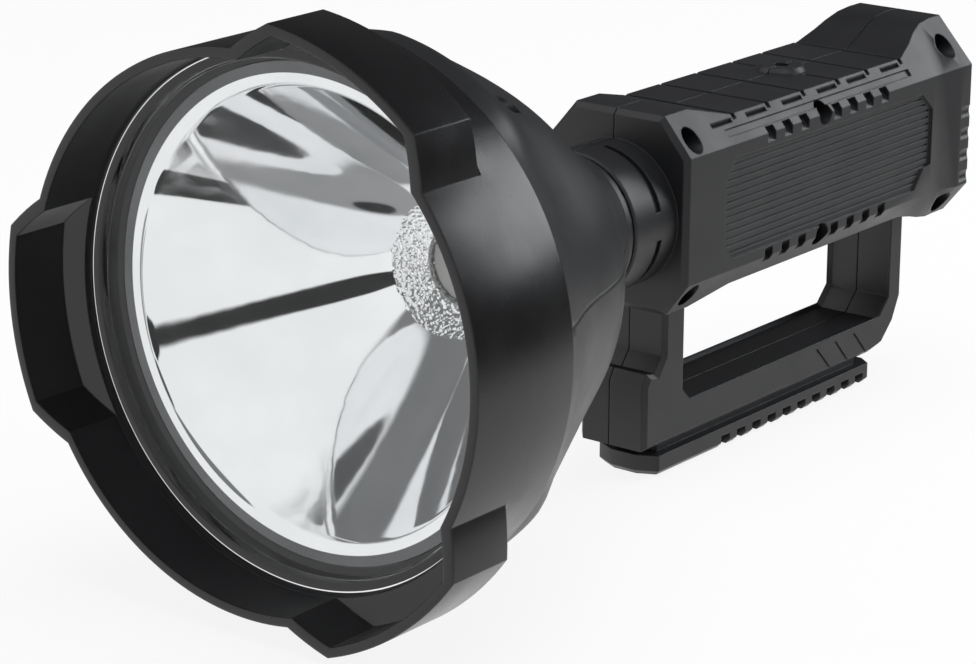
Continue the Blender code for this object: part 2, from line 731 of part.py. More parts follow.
def bowl_blank():
    """The bowl's outside from its spigot over the neck ring to the clamped neck."""
    profile = [(BOWL_SPIGOT_FRONT, 0.0), (BOWL_SPIGOT_FRONT, BOWL_SPIGOT_RADIUS)]
    profile += [(BOWL_START, BOWL_SPIGOT_RADIUS)] + bowl_outline()
    profile += [(BOWL_END, NECK_RING_RADIUS), (NECK_RING_REAR, NECK_RING_RADIUS)]
    profile += [(NECK_RING_REAR, NECK_RADIUS), (CLAMP_FRONT, NECK_RADIUS)]
    profile += [(CLAMP_FRONT, CLAMP_RADIUS), (CLAMP_REAR, CLAMP_RADIUS)]
    profile += [(CLAMP_REAR, NECK_RADIUS), (NECK_REAR, NECK_RADIUS), (NECK_REAR, 0.0)]
    return profile


def bowl_hollow():
    """The space inside the bowl, from its open front through the neck."""
    spigot = BOWL_SPIGOT_RADIUS - BOWL_SPIGOT_WALL
    outline = bowl_outline()
    wall_points = [(along, radius - BOWL_WALL) for along, radius in outline[1:-1:2]]
    profile = [(BOWL_SPIGOT_FRONT - OVERSHOOT, 0.0), (BOWL_SPIGOT_FRONT - OVERSHOOT, spigot)]
    profile += [(BOWL_START, spigot)] + wall_points
    profile += [(BOWL_END, NECK_BORE_RADIUS), (NECK_REAR + OVERSHOOT, NECK_BORE_RADIUS)]
    return profile + [(NECK_REAR + OVERSHOOT, 0.0)]


def valley_depth(along):
    """How much lower than a lobe the bowl lies between two lobes, at one place along it."""
    share = (along - BOWL_START) / (BOWL_END - BOWL_START)
    for near, far in zip(BOWL_OUTLINE_SHARE, BOWL_OUTLINE_SHARE[1:]):
        if near[0] <= share <= far[0]:
            blend = (share - near[0]) / (far[0] - near[0])
            depth = (near[1] - near[2]) * (1.0 - blend) + (far[1] - far[2]) * blend
            return depth * (CROWN_RADIUS - NECK_RING_RADIUS)
    return 0.0


def press_valleys(bm):
    """Press the turned bowl in between the three lobes behind the lugs."""
    for corner in bm.verts:
        radius = math.hypot(corner.co.x, corner.co.z)
        if radius < NECK_RING_RADIUS:
            continue
        bearing = math.degrees(math.atan2(corner.co.x, corner.co.z))
        depth = valley_depth(corner.co.y) * (1.0 - lobe_share(bearing))
        corner.co.x *= (radius - depth) / radius
        corner.co.z *= (radius - depth) / radius
    flatten_faces(bm)


def head_screw_centres():
    """Where the three head screws stand, as (side, up) from the lamp axis."""
    turns = [math.radians(bearing + HEAD_SCREW_TURN) for bearing in LUG_BEARINGS]
    return [
        (HEAD_SCREW_CIRCLE * math.sin(turn), HEAD_SCREW_CIRCLE * math.cos(turn)) for turn in turns
    ]


def rear_bowl(charcoal):
    """The dome behind the crown, with its spigot, screw bosses and clamped neck."""
    bm = bmesh.new()
    turn_profile(bm, bowl_blank(), ROUND_STEPS)
    press_valleys(bm)
    item = finish("rear_bowl", bm, head_place(), charcoal)
    bm = bmesh.new()
    turn_profile(bm, bowl_hollow(), ROUND_STEPS)
    press_valleys(bm)
    hollow = finish("cut_bowl_hollow", bm, head_place(), None)
    bosses = bmesh.new()
    for centre in head_screw_centres():
        rod(bosses, BOWL_SPIGOT_FRONT - 2.0 * OVERSHOOT, BOSS_REAR + OVERSHOOT, BOSS_RADIUS, centre)
    boolean(hollow, finish("cut_bowl_bosses", bosses, head_place(), None))
    wells = bmesh.new()
    stepped = (
        (BOWL_SPIGOT_FRONT - OVERSHOOT, 0.0), (BOWL_SPIGOT_FRONT - OVERSHOOT, SCREW_HOLE_RADIUS),
        (HEAD_SCREW_SEAT, SCREW_HOLE_RADIUS), (HEAD_SCREW_SEAT, HEAD_SCREW_WELL_RADIUS),
        (BOSS_REAR, HEAD_SCREW_WELL_RADIUS), (BOSS_REAR, 0.0),
    )
    for centre in head_screw_centres():
        turn_profile(wells, stepped, SMALL_STEPS, centre)
    boolean(hollow, finish("cut_bowl_wells", wells, head_place(), None), "UNION")
    boolean(item, hollow)
    return item


def screw_mesh(bm, shank_length):
    """A slotted screw along Y: head at the origin's +Y side, shank towards -Y."""
    profile = (
        (-shank_length, 0.0), (-shank_length, SCREW_SHANK_RADIUS), (0.0, SCREW_SHANK_RADIUS),
        (0.0, SCREW_HEAD_RADIUS), (SCREW_HEAD_LENGTH, SCREW_HEAD_RADIUS), (SCREW_HEAD_LENGTH, 0.0),
    )
    turn_profile(bm, profile, SCREW_STEPS)


def slot_cutter(name, place, turn):
    """The driver slot of one screw."""
    bm = bmesh.new()
    half = SCREW_SLOT_WIDTH / 2.0
    reach = SCREW_HEAD_RADIUS + OVERSHOOT
    floor = SCREW_HEAD_LENGTH - SCREW_SLOT_DEPTH
    along_y(
        bm,
        [
            (floor, rectangle(-reach, reach, -half, half)),
            (SCREW_HEAD_LENGTH + OVERSHOOT, rectangle(-reach, reach, -half, half)),
        ],
    )
    item = finish("cut_slot_" + name, bm, place, None)
    item.rotation_euler = turn
    return item


def screw(name, place, turn, shank_length, steel):
    """One screw, head up its local +Y."""
    bm = bmesh.new()
    screw_mesh(bm, shank_length)
    item = finish(name, bm, place, steel)
    item.rotation_euler = turn
    boolean(item, slot_cutter(name, place, turn))
    return item


def head_screws(steel):
    """Three screws in the bowl's deep wells, gripping the crown's shelf."""
    seat = HEAD_SCREW_SEAT + GAP
    shank = seat - HEAD_SCREW_TIP
    for name, centre in zip(("upper", "lower", "far"), head_screw_centres()):
        screw("bowl_screw_" + name, head_place(seat, *centre), (0.0, 0.0, 0.0), shank, steel)


def neck_seal(rubber):
    """The soft ring between the bowl's neck and the collar."""
    front = NECK_RING_REAR + GAP
    rear = front + NECK_SEAL_LENGTH
    inner = NECK_RADIUS + GAP
    outer = NECK_RING_RADIUS - NECK_SEAL_INSET
    profile = ((front, inner), (front, outer), (rear, outer), (rear, inner))
    return turned("neck_seal", profile, head_place(), rubber, INNER_STEPS)


def lamp_parts(board_white, phosphor, silver):
    """The emitter on its star board, and the finned sink behind them."""
    star_front = DISH_COLLAR_REAR - STAR_THICK
    star = ((star_front, 0.0), (star_front, STAR_RADIUS), (DISH_COLLAR_REAR, STAR_RADIUS))
    star += ((DISH_COLLAR_REAR, 0.0),)
    turned("led_star_board", star, head_place(), board_white, INNER_STEPS)
    base = star_front - GAP
    shoulder = base - LAMP_BASE_HEIGHT
    dome = [(base, 0.0), (base, LAMP_BASE_RADIUS)]
    for k in range(LAMP_DOME_STEPS):
        turn = math.pi / 2.0 * k / LAMP_DOME_STEPS
        dome.append(
            (shoulder - LAMP_DOME_HEIGHT * math.sin(turn), LAMP_BASE_RADIUS * math.cos(turn))
        )
    dome.append((shoulder - LAMP_DOME_HEIGHT, 0.0))
    turned("led_emitter", dome[::-1], head_place(), phosphor, SMALL_STEPS)
    start = DISH_COLLAR_REAR + GAP
    sink = [(start, 0.0), (start, SINK_RADIUS), (start + SINK_BASE, SINK_RADIUS)]
    sink.append((start + SINK_BASE, SINK_CORE_RADIUS))
    for k in range(1, SINK_FINS + 1):
        front = start + SINK_BASE + SINK_FIN_PITCH * k - SINK_FIN_THICK
        rear = front + SINK_FIN_THICK
        fin = SINK_RADIUS - SINK_FIN_THICK
        sink += [(front, SINK_CORE_RADIUS), (front, fin), (rear, fin)]
        sink.append((rear, SINK_CORE_RADIUS if k < SINK_FINS else 0.0))
    turned("heat_sink", sink, head_place(), silver, INNER_STEPS)


def lamp_leads(red, black):
    """Two insulated leads from the sink down the hollow neck to the driver board."""
    start = DISH_COLLAR_REAR + GAP + SINK_BASE + SINK_FIN_PITCH * SINK_FINS + GAP
    end = HEAD_REACH + DRIVER_PLACE - GAP
    for name, side, material in (("lead_positive", 1.0, red), ("lead_negative", -1.0, black)):
        shape = bpy.data.curves.new(name, "CURVE")
        shape.dimensions = "3D"
        shape.bevel_depth = LEAD_RADIUS
        shape.bevel_resolution = LEAD_ROUNDING
        shape.use_fill_caps = True
        line = shape.splines.new("POLY")
        line.points.add(LEAD_POINTS - 1)
        for k, point in enumerate(line.points):
            share = k / (LEAD_POINTS - 1)
            sway = LEAD_SWAY * math.sin(math.pi * share) ** 2
            point.co = (side * LEAD_SPACING, start + (end - start) * share, side * sway, 1.0)
        shape.materials.append(material)
        item = bpy.data.objects.new(name, shape)
        item.location = head_place()
        bpy.context.scene.collection.objects.link(item)


def block_outline(top, top_half, half, upper, lower, bottom, bottom_half):
    """An eight-cornered cross-section of the block."""
    return [
        (top_half, top), (half, upper), (half, lower), (bottom_half, bottom),
        (-bottom_half, bottom), (-half, lower), (-half, upper), (-top_half, top),
    ]


def chamfer_half(height):
    """Half width of the upper chamfer plane at a height, so the saddle keeps its line."""
    run = (BLOCK_TOP - height) / (BLOCK_TOP - UPPER_CORNER)
    return BLOCK_TOP_HALF + (BLOCK_HALF - BLOCK_TOP_HALF) * run


def block_sections():
    """Cross-sections from the front face over the waist to the flared rear."""
    front = block_outline(
        BLOCK_TOP, BLOCK_TOP_HALF, BLOCK_HALF, UPPER_CORNER, LOWER_CORNER,
        BLOCK_BOTTOM, BLOCK_BOTTOM_HALF,
    )
    waist = waist_outline()
    flare = block_outline(
        FLARE_TOP, FLARE_TOP_HALF, FLARE_HALF, FLARE_UPPER_CORNER, LOWER_CORNER,
        BLOCK_BOTTOM, FLARE_BOTTOM_HALF,
    )
    sections = [
        (0.0, inset(front, FRONT_BEVEL_INSET)), (FRONT_BEVEL, front), (WAIST_START, front),
        (WAIST_FULL, waist), (WAIST_END, waist),
    ]
    for behind, share in FLARE_RAMP:
        height = WAIST_TOP + (FLARE_TOP - WAIST_TOP) * share
        half = chamfer_half(WAIST_TOP) + (FLARE_TOP_HALF - chamfer_half(WAIST_TOP)) * share
        bottom = WAIST_BOTTOM + (BLOCK_BOTTOM - WAIST_BOTTOM) * share
        sections.append(
            (
                BLOCK_REAR - behind,
                block_outline(
                    height, half, BLOCK_HALF, UPPER_CORNER, LOWER_CORNER,
                    bottom, WAIST_BOTTOM_HALF,
                ),
            )
        )
    sections += [
        (FLARE_FULL, flare), (BLOCK_REAR - REAR_BEVEL, flare), (BLOCK_REAR, inset(flare, REAR_BEVEL)),
    ]
    return sections


def grip_outline():
    """Side view of the two legs and the bar, without the finger loop."""
    toe = [(along, BAR_BOTTOM + lift) for along, lift in TOE_STEP]
    heel = [(BLOCK_REAR - behind, BAR_BOTTOM + lift) for behind, lift in HEEL]
    outline = [(toe[0][0], GRIP_ROOT)] + toe + [(toe[-1][0], BAR_BOTTOM)] + heel
    return outline + [(heel[-1][0], GRIP_ROOT)]


def loop_outline():
    """Side view of the finger loop."""
    return [
        (LOOP_FRONT, LOOP_CEILING), (LOOP_FRONT, LOOP_FLOOR + LOOP_CORNER),
        (LOOP_FRONT + LOOP_CORNER, LOOP_FLOOR), (LOOP_REAR - LOOP_CORNER_REAR, LOOP_FLOOR),
        (LOOP_REAR, LOOP_FLOOR + LOOP_CORNER_REAR), (LOOP_REAR, LOOP_CEILING),
    ]


def grip():
    """The legs and the bar as one bevelled slab."""
    outline = grip_outline()
    edge = inset(outline, GRIP_BEVEL)
    bm = bmesh.new()
    inner = GRIP_HALF - GRIP_BEVEL
    across_x(bm, [(-GRIP_HALF, edge), (-inner, outline), (inner, outline), (GRIP_HALF, edge)])
    return finish("cut_grip", bm, body_place(), None)


def finger_loop():
    """The loop's cutter, wider at both faces so that its edges are bevelled."""
    outline = loop_outline()
    wide = inset(outline, -GRIP_BEVEL - OVERSHOOT)
    bm = bmesh.new()
    inner = GRIP_HALF - GRIP_BEVEL
    outer = GRIP_HALF + OVERSHOOT
    across_x(bm, [(-outer, wide), (-inner, outline), (inner, outline), (outer, wide)])
    return finish("cut_finger_loop", bm, body_place(), None)


def collar():
    """The ring of the housing round the neck, rooted in the block."""
    bm = bmesh.new()
    front = COLLAR_FRONT - HEAD_REACH
    profile = (
        (front, 0.0), (front, COLLAR_RADIUS - COLLAR_EDGE), (front + COLLAR_EDGE, COLLAR_RADIUS),
        (COLLAR_ROOT, COLLAR_RADIUS), (COLLAR_ROOT, 0.0),
    )
    turn_profile(bm, profile, ROUND_STEPS)
    return finish("cut_collar", bm, body_place(), None)


def strap_boss():
    """The raised boss on the top seam."""
    bm = bmesh.new()
    centre = (SEAM_X, STRAP_BOSS_PLACE)
    outline = circle(STRAP_BOSS_RADIUS, STRAP_BOSS_SIDES, centre)
    top = circle(STRAP_BOSS_RADIUS - STRAP_BOSS_TAPER, STRAP_BOSS_SIDES, centre)
    foot = WAIST_TOP - OVERSHOOT
    upright_z(bm, [(foot, outline), (WAIST_TOP + GAP, outline), (STRAP_BOSS_TOP, top)])
    return finish("cut_strap_boss", bm, body_place(), None)


def rear_panel_span():
    """Where the rear panel starts and ends along the block."""
    end = BLOCK_REAR - REAR_PANEL_SINK
    return end - REAR_PANEL_THICK, end


def waist_outline():
    """The block's cross-section along the saddle."""
    return block_outline(
        WAIST_TOP, chamfer_half(WAIST_TOP), BLOCK_HALF, UPPER_CORNER, LOWER_CORNER,
        WAIST_BOTTOM, WAIST_BOTTOM_HALF,
    )


def chamber_outline():
    """The outline of the cell chamber, one wall inside the saddle's."""
    return inset(waist_outline(), HOUSING_WALL)


def housing_hollow():
    """The neck's bore and clamp groove, the lead passage, the cell chamber and the rear pocket."""
    bm = bmesh.new()
    front = COLLAR_FRONT - HEAD_REACH
    groove_front = CLAMP_FRONT - GAP - HEAD_REACH
    groove_rear = CLAMP_REAR + GAP - HEAD_REACH
    groove = CLAMP_RADIUS + GAP
    profile = (
        (front - OVERSHOOT, 0.0), (front - OVERSHOOT, COLLAR_BORE_RADIUS),
        (groove_front, COLLAR_BORE_RADIUS), (groove_front, groove), (groove_rear, groove),
        (groove_rear, COLLAR_BORE_RADIUS), (BORE_END, COLLAR_BORE_RADIUS),
        (BORE_END, PASSAGE_RADIUS), (CAVITY_START + OVERSHOOT, PASSAGE_RADIUS),
        (CAVITY_START + OVERSHOOT, 0.0),
    )
    turn_profile(bm, profile, ROUND_STEPS)
    along_y(bm, [(CAVITY_START, chamber_outline()), (CAVITY_END, chamber_outline())])
    pocket = rectangle(-POCKET_HALF, POCKET_HALF, POCKET_BOTTOM, POCKET_TOP)
    along_y(bm, [(CAVITY_END - OVERSHOOT, pocket), (BLOCK_REAR + OVERSHOOT, pocket)])
    rim = rectangle(-RIM_HALF, RIM_HALF, RIM_BOTTOM, RIM_TOP)
    along_y(bm, [(rear_panel_span()[0] - GAP, rim), (BLOCK_REAR + OVERSHOOT, rim)])
    return finish("cut_hollow", bm, body_place(), None)


def chamber_bosses():
    """Bosses that cross the cell chamber round the screws in the middle of the block."""
    bm = bmesh.new()
    for name, along, up in BODY_SCREWS:
        if name.startswith("mid"):
            boss = circle(CHAMBER_BOSS_RADIUS, SMALL_STEPS, (along, up))
            across_x(bm, [(-BLOCK_HALF, boss), (BLOCK_HALF, boss)])
    return finish("cut_chamber_bosses", bm, body_place(), None)


def screw_wells():
    """Counterbored wells on the near side and pilot holes that run on across the seam."""
    bm = bmesh.new()
    start = WELL_FLOOR - SCREW_SHANK_LENGTH - OVERSHOOT
    outer = FLARE_HALF + OVERSHOOT
    for _, along, up in BODY_SCREWS:
        hole = circle(SCREW_HOLE_RADIUS, SMALL_STEPS, (along, up))
        well = circle(WELL_RADIUS, SMALL_STEPS, (along, up))
        across_x(bm, [(start, hole), (WELL_FLOOR, hole), (WELL_FLOOR, well), (outer, well)])
    for _, along in RAIL_SCREWS:
        upright_z(
            bm,
            [
                (BAR_BOTTOM - OVERSHOOT, circle(SCREW_HOLE_RADIUS, SMALL_STEPS, (0.0, along))),
                (BAR_BOTTOM + RAIL_HOLE_DEPTH, circle(SCREW_HOLE_RADIUS, SMALL_STEPS, (0.0, along))),
            ],
        )
    return finish("cut_screw_wells", bm, body_place(), None)


def tilted_box(bm, along, length, side, up, size, depth):
    """A box whose faces lie at 45 degrees to the side wall, for cuts into a long corner."""
    tilt = math.copysign(math.pi / 4.0, side * up)
    half_a = size / 2.0
    half_b = depth / 2.0
    corners = []
    for a, b in rectangle(-half_a, half_a, -half_b, half_b):
        x = side + a * math.cos(tilt) + b * math.sin(tilt)
        z = up - a * math.sin(tilt) + b * math.cos(tilt)
        corners.append((x, z))
    along_y(bm, [(along - length / 2.0, corners), (along + length / 2.0, corners)])


def panel_outline():
    """Side view of the ribbed panels."""
    return list(PANEL_FRONT) + [(BLOCK_REAR - behind, up) for behind, up in PANEL_REAR]


def chamfer_bands():
    """A shallow sunk band along each upper chamfer of the saddle."""
    bm = bmesh.new()
    foot = Vector((BLOCK_HALF, UPPER_CORNER))
    top = Vector((chamfer_half(WAIST_TOP), WAIST_TOP))
    rise = top - foot
    outward = Vector((rise.y, -rise.x)).normalized()
    low = foot + rise * BAND_LOW_SHARE
    high = foot + rise * BAND_HIGH_SHARE
    band = (
        low - outward * BAND_DEPTH, low + outward * OVERSHOOT, high + outward * OVERSHOOT,
        high - outward * BAND_DEPTH,
    )
    for hand in (-1.0, 1.0):
        ring = [(hand * x, z) for x, z in band]
        along_y(bm, [(BAND_START, ring), (WAIST_END, ring)])
    return finish("cut_bands", bm, body_place(), None)


def side_cuts():
    """Ribbed panels, teeth and heel grooves on both sides."""
    bm = bmesh.new()
    outline = panel_outline()
    for hand in (-1.0, 1.0):
        wall = hand * BLOCK_HALF
        floor = wall - hand * PANEL_DEPTH
        across_x(bm, [(floor, outline), (wall + hand * OVERSHOOT, outline)])
        for place in TOOTH_PLACES:
            along = TOOTH_FIRST + TOOTH_PITCH * place
            for up in (UPPER_CORNER, LOWER_CORNER):
                tilted_box(bm, along, TOOTH_LENGTH, wall, up, TOOTH_SIZE, TOOTH_DEPTH)
        for first, last in HEEL_GROOVES:
            start = BLOCK_REAR - first
            end = BLOCK_REAR - last
            top = BAR_BOTTOM + HEEL_GROOVE_TOP
            bottom = BAR_BOTTOM + HEEL_GROOVE_BOTTOM
            groove = [
                (start, top), (start + HEEL_GROOVE_WIDTH, top), (end + HEEL_GROOVE_WIDTH, bottom),
                (end, bottom),
            ]
            face = hand * GRIP_HALF
            inner = face - hand * HEEL_GROOVE_DEPTH
            across_x(bm, [(inner, groove), (face + hand * OVERSHOOT, groove)])
    return finish("cut_sides", bm, body_place(), None)


def panel_span(height):
    """Where a level line enters and leaves the panel outline, less a margin."""
    crossings = []
    points = panel_outline()
    for (y0, z0), (y1, z1) in zip(points, points[1:] + points[:1]):
        if (z0 - height) * (z1 - height) < 0.0:
            crossings.append(y0 + (y1 - y0) * (height - z0) / (z1 - z0))
    return min(crossings) + PANEL_MARGIN, max(crossings) - PANEL_MARGIN


def rib_grooves():
    """The level grooves between the ribs of both side panels."""
    bm = bmesh.new()
    for hand in (-1.0, 1.0):
        floor = hand * (BLOCK_HALF - PANEL_DEPTH)
        deep = floor - hand * PANEL_RIB_DEPTH
        for k in range(PANEL_RIBS):
            height = (k - (PANEL_RIBS - 1) / 2.0) * PANEL_RIB_PITCH
            start, end = panel_span(height)
            low = height - PANEL_RIB_GAP / 2.0
            groove = rectangle(start, end, low, low + PANEL_RIB_GAP)
            across_x(bm, [(deep, groove), (floor + hand * OVERSHOOT, groove)])
    return finish("cut_ribs", bm, body_place(), None)


def top_cuts():
    """Grooves across the saddle, a slit beside each end, and the strap hole."""
    bm = bmesh.new()
    floor = WAIST_TOP - TOP_GROOVE_DEPTH
    above = WAIST_TOP + OVERSHOOT
    for share in TOP_GROOVE_SHARES:
        place = WAIST_FULL + (WAIST_END - WAIST_FULL) * share
        half = TOP_GROOVE_WIDTH / 2.0
        groove = rectangle(-TOP_GROOVE_HALF, TOP_GROOVE_HALF, place - half, place + half)
        if abs(place - STRAP_BOSS_PLACE) < STRAP_BOSS_RADIUS:
            clear = STRAP_BOSS_RADIUS + TOP_GROOVE_CLEAR
            for low, high in ((-TOP_GROOVE_HALF, SEAM_X - clear), (SEAM_X + clear, TOP_GROOVE_HALF)):
                groove = rectangle(low, high, place - half, place + half)
                upright_z(bm, [(floor, groove), (above, groove)])
        else:
            upright_z(bm, [(floor, groove), (above, groove)])
        for hand in (-1.0, 1.0):
            low = hand * SLIT_X - SLIT_WIDTH / 2.0
            end = place - half - SLIT_BEFORE
            slit = rectangle(low, low + SLIT_WIDTH, end - SLIT_LENGTH, end)
            height = WAIST_TOP - (SLIT_X - chamfer_half(WAIST_TOP))
            upright_z(bm, [(height - SLIT_DEPTH, slit), (above, slit)])
    centre = (SEAM_X, STRAP_BOSS_PLACE)
    hole = circle(STRAP_HOLE_RADIUS, SMALL_STEPS, centre)
    bottom = STRAP_BOSS_TOP - STRAP_HOLE_DEPTH
    upright_z(bm, [(bottom, hole), (STRAP_BOSS_TOP + OVERSHOOT, hole)])
    return finish("cut_top", bm, body_place(), None)


def arc_cutter(bm, start, end, inner, outer, first, last, steps=COLLAR_SLOT_STEPS):
    """A length of a ring about the lamp axis, between two bearings."""
    rings = []
    for k in range(steps + 1):
        turn = math.radians(first + (last - first) * k / steps)
        ring = []
        for along, radius in ((start, inner), (start, outer), (end, outer), (end, inner)):
            ring.append((radius * math.sin(turn), along, radius * math.cos(turn)))
        rings.append(ring)
    skin_sections(bm, rings)


def collar_slots():
    """Two slots round each side of the collar."""
    bm = bmesh.new()
    start = COLLAR_FRONT + COLLAR_SLOT_SETBACK - HEAD_REACH
    inner = COLLAR_RADIUS - COLLAR_SLOT_DEPTH
    outer = COLLAR_RADIUS + OVERSHOOT
    for first, last in COLLAR_SLOT_SPANS:
        arc_cutter(bm, start, start + COLLAR_SLOT_LENGTH, inner, outer, first, last)
        arc_cutter(bm, start, start + COLLAR_SLOT_LENGTH, inner, outer, -last, -first)
    return finish("cut_collar_slots", bm, body_place(), None)


def rear_scallops():
    """Four round scallops down each side of the rear edge."""
    bm = bmesh.new()
    for hand in (-1.0, 1.0):
        side = hand * (FLARE_HALF - SCALLOP_DEPTH + SCALLOP_RADIUS)
        for k in range(SCALLOP_COUNT):
            centre = (side, SCALLOP_FIRST - SCALLOP_PITCH * k)
            rod(bm, FLARE_FULL + FRONT_BEVEL, BLOCK_REAR + OVERSHOOT, SCALLOP_RADIUS, centre)
    return finish("cut_scallops", bm, body_place(), None)


def half_space(name, hand):
    """Everything beyond the seam on one side, and half the gap between the halves."""
    bm = bmesh.new()
    edge = SEAM_X - hand * GAP / 2.0
    far = hand * (FLARE_HALF + CROWN_RADIUS)
    front = COLLAR_FRONT - HEAD_REACH - CROWN_RADIUS
    side = rectangle(front, BLOCK_REAR + CROWN_RADIUS, BAR_BOTTOM - CROWN_RADIUS, FLARE_TOP + CROWN_RADIUS)
    across_x(bm, [(edge, side), (far, side)])
    return finish(name, bm, body_place(), None)


def body_shells(charcoal):
    """Both housing halves, cut from the same solid at the seam."""
    joins = (grip(), collar(), strap_boss())
    hollow = housing_hollow()
    boolean(hollow, chamber_bosses(), overlaps=True)
    cuts = (
        finger_loop(), screw_wells(), side_cuts(), chamfer_bands(), rib_grooves(), top_cuts(),
        collar_slots(), rear_scallops(),
    )
    for name, hand in (("body_shell_right", 1.0), ("body_shell_left", -1.0)):
        bm = bmesh.new()
        along_y(bm, block_sections())
        flatten_faces(bm)
        item = finish(name, bm, body_place(), charcoal)
        for tool in joins:
            boolean(item, tool, "UNION")
        boolean(item, hollow, overlaps=True)
        for tool in cuts:
            boolean(item, tool)
        boolean(item, half_space("cut_half_" + name, -hand))


def body_screws(steel):
    """Six screws laid along X in their wells."""
    seat = WELL_FLOOR + GAP
    for name, along, up in BODY_SCREWS:
        turn = (0.0, 0.0, -math.pi / 2.0)
        place = body_place(along, seat, up)
        screw("body_screw_" + name, place, turn, SCREW_SHANK_LENGTH, steel)


def cells(wrap, cream):
    """Four cells in two rows, held in two spacers that fill the chamber's outline."""
    names = ("upper_right", "upper_left", "lower_right", "lower_left")
    middle = (WAIST_TOP + WAIST_BOTTOM) / 2.0
    centres = []
    for up in (middle + CELL_SPACING, middle - CELL_SPACING):
        centres += [(CELL_SPACING, up), (-CELL_SPACING, up)]
    rear = CELL_START + CELL_LENGTH
    profile = (
        (CELL_START, 0.0), (CELL_START, CELL_RADIUS), (rear - CELL_CAP_LENGTH, CELL_RADIUS),
        (rear - CELL_CAP_LENGTH, CELL_CAP_RADIUS), (rear, CELL_CAP_RADIUS), (rear, 0.0),
    )
    for name, (side, up) in zip(names, centres):
        turned("cell_" + name, profile, body_place(0.0, side, up), wrap, CELL_STEPS)
    for name, place in (("front", SPACER_FRONT), ("rear", SPACER_REAR)):
        start = CELL_START + place
        end = start + SPACER_LENGTH
        plate = inset(chamber_outline(), GAP)
        bm = bmesh.new()
        along_y(bm, [(start, plate), (end, plate)])
        item = finish("cell_spacer_" + name, bm, body_place(), cream)
        holes = bmesh.new()
        for centre in centres:
            rod(holes, start - OVERSHOOT, end + OVERSHOOT, CELL_RADIUS + GAP, centre, CELL_STEPS)
        boolean(item, finish("cut_spacer_" + name, holes, body_place(), None))


def driver_parts(board, copper):
    """The round driver board behind the lead passage and its wound coil."""
    rear = DRIVER_PLACE + BOARD_THICK
    disc = ((DRIVER_PLACE, 0.0), (DRIVER_PLACE, DRIVER_RADIUS), (rear, DRIVER_RADIUS), (rear, 0.0))
    turned("driver_board", disc, body_place(), board, INNER_STEPS)
    front = rear + GAP
    end = front + COIL_LENGTH
    ring = (
        (front, COIL_BORE_RADIUS), (front, COIL_RADIUS), (end, COIL_RADIUS), (end, COIL_BORE_RADIUS),
    )
    turned("driver_coil", ring, body_place(), copper, SMALL_STEPS)


def control_parts(board, black, silver):
    """The upright control board with its push switch and charge socket."""
    low = POCKET_BOTTOM + GAP
    high = POCKET_TOP - GAP
    half = POCKET_HALF - GAP
    bm = bmesh.new()
    face = rectangle(-half, half, low, high)
    along_y(bm, [(CONTROL_PLACE, face), (CONTROL_PLACE + BOARD_THICK, face)])
    finish("control_board", bm, body_place(), board)
    front = CONTROL_PLACE + BOARD_THICK + GAP
    bm = bmesh.new()
    base = rectangle(
        -SWITCH_HALF, SWITCH_HALF, BUTTON_HEIGHT - SWITCH_HALF, BUTTON_HEIGHT + SWITCH_HALF
    )
    rear = rear_panel_span()[0] - GAP - BUTTON_FLANGE_THICK - BUTTON_TRAVEL - GAP
    along_y(bm, [(front, base), (rear, base)])
    finish("push_switch", bm, body_place(), black)
    outer = rectangle(
        -SOCKET_HALF, SOCKET_HALF, SOCKET_HEIGHT - SOCKET_HALF_HEIGHT,
        SOCKET_HEIGHT + SOCKET_HALF_HEIGHT,
    )
    bm = bmesh.new()
    end = rear_panel_span()[1] - FLAP_RECESS - GAP
    along_y(bm, [(front, outer), (end, outer)])
    item = finish("charge_socket", bm, body_place(), silver)
    bm = bmesh.new()
    inner = inset(outer, SOCKET_WALL)
    along_y(bm, [(front + SOCKET_FLOOR, inner), (end + OVERSHOOT, inner)])
    boolean(item, finish("cut_socket", bm, body_place(), None))


def rear_panel(charcoal):
    """The plate that closes the rear pocket, with its openings."""
    front, rear = rear_panel_span()
    bm = bmesh.new()
    plate = rectangle(-RIM_HALF + GAP, RIM_HALF - GAP, RIM_BOTTOM + GAP, RIM_TOP - GAP)
    along_y(bm, [(front, plate), (rear, plate)])
    item = finish("rear_panel", bm, body_place(), charcoal)
    bm = bmesh.new()
    rod(bm, front - OVERSHOOT, rear + OVERSHOOT, BUTTON_RADIUS + GAP, (0.0, BUTTON_HEIGHT), INNER_STEPS)
    for hand in (-1.0, 1.0):
        spot = (hand * PILOT_X, PILOT_HEIGHT)
        rod(bm, front - OVERSHOOT, rear + OVERSHOOT, PILOT_RADIUS + GAP, spot, SMALL_STEPS)
    mouth = rectangle(
        -SOCKET_HALF - GAP, SOCKET_HALF + GAP, SOCKET_HEIGHT - SOCKET_HALF_HEIGHT - GAP,
        SOCKET_HEIGHT + SOCKET_HALF_HEIGHT + GAP,
    )
    along_y(bm, [(front - OVERSHOOT, mouth), (rear - FLAP_RECESS / 2.0, mouth)])
    recess = rectangle(
        -FLAP_HALF - GAP, FLAP_HALF + GAP, SOCKET_HEIGHT - FLAP_TOP - GAP,
        SOCKET_HEIGHT + FLAP_TOP + FLAP_THICK / 2.0 + GAP,
    )
    along_y(bm, [(rear - FLAP_RECESS, recess), (rear + OVERSHOOT, recess)])
    boolean(item, finish("cut_rear_panel", bm, body_place(), None), overlaps=True)
    return item


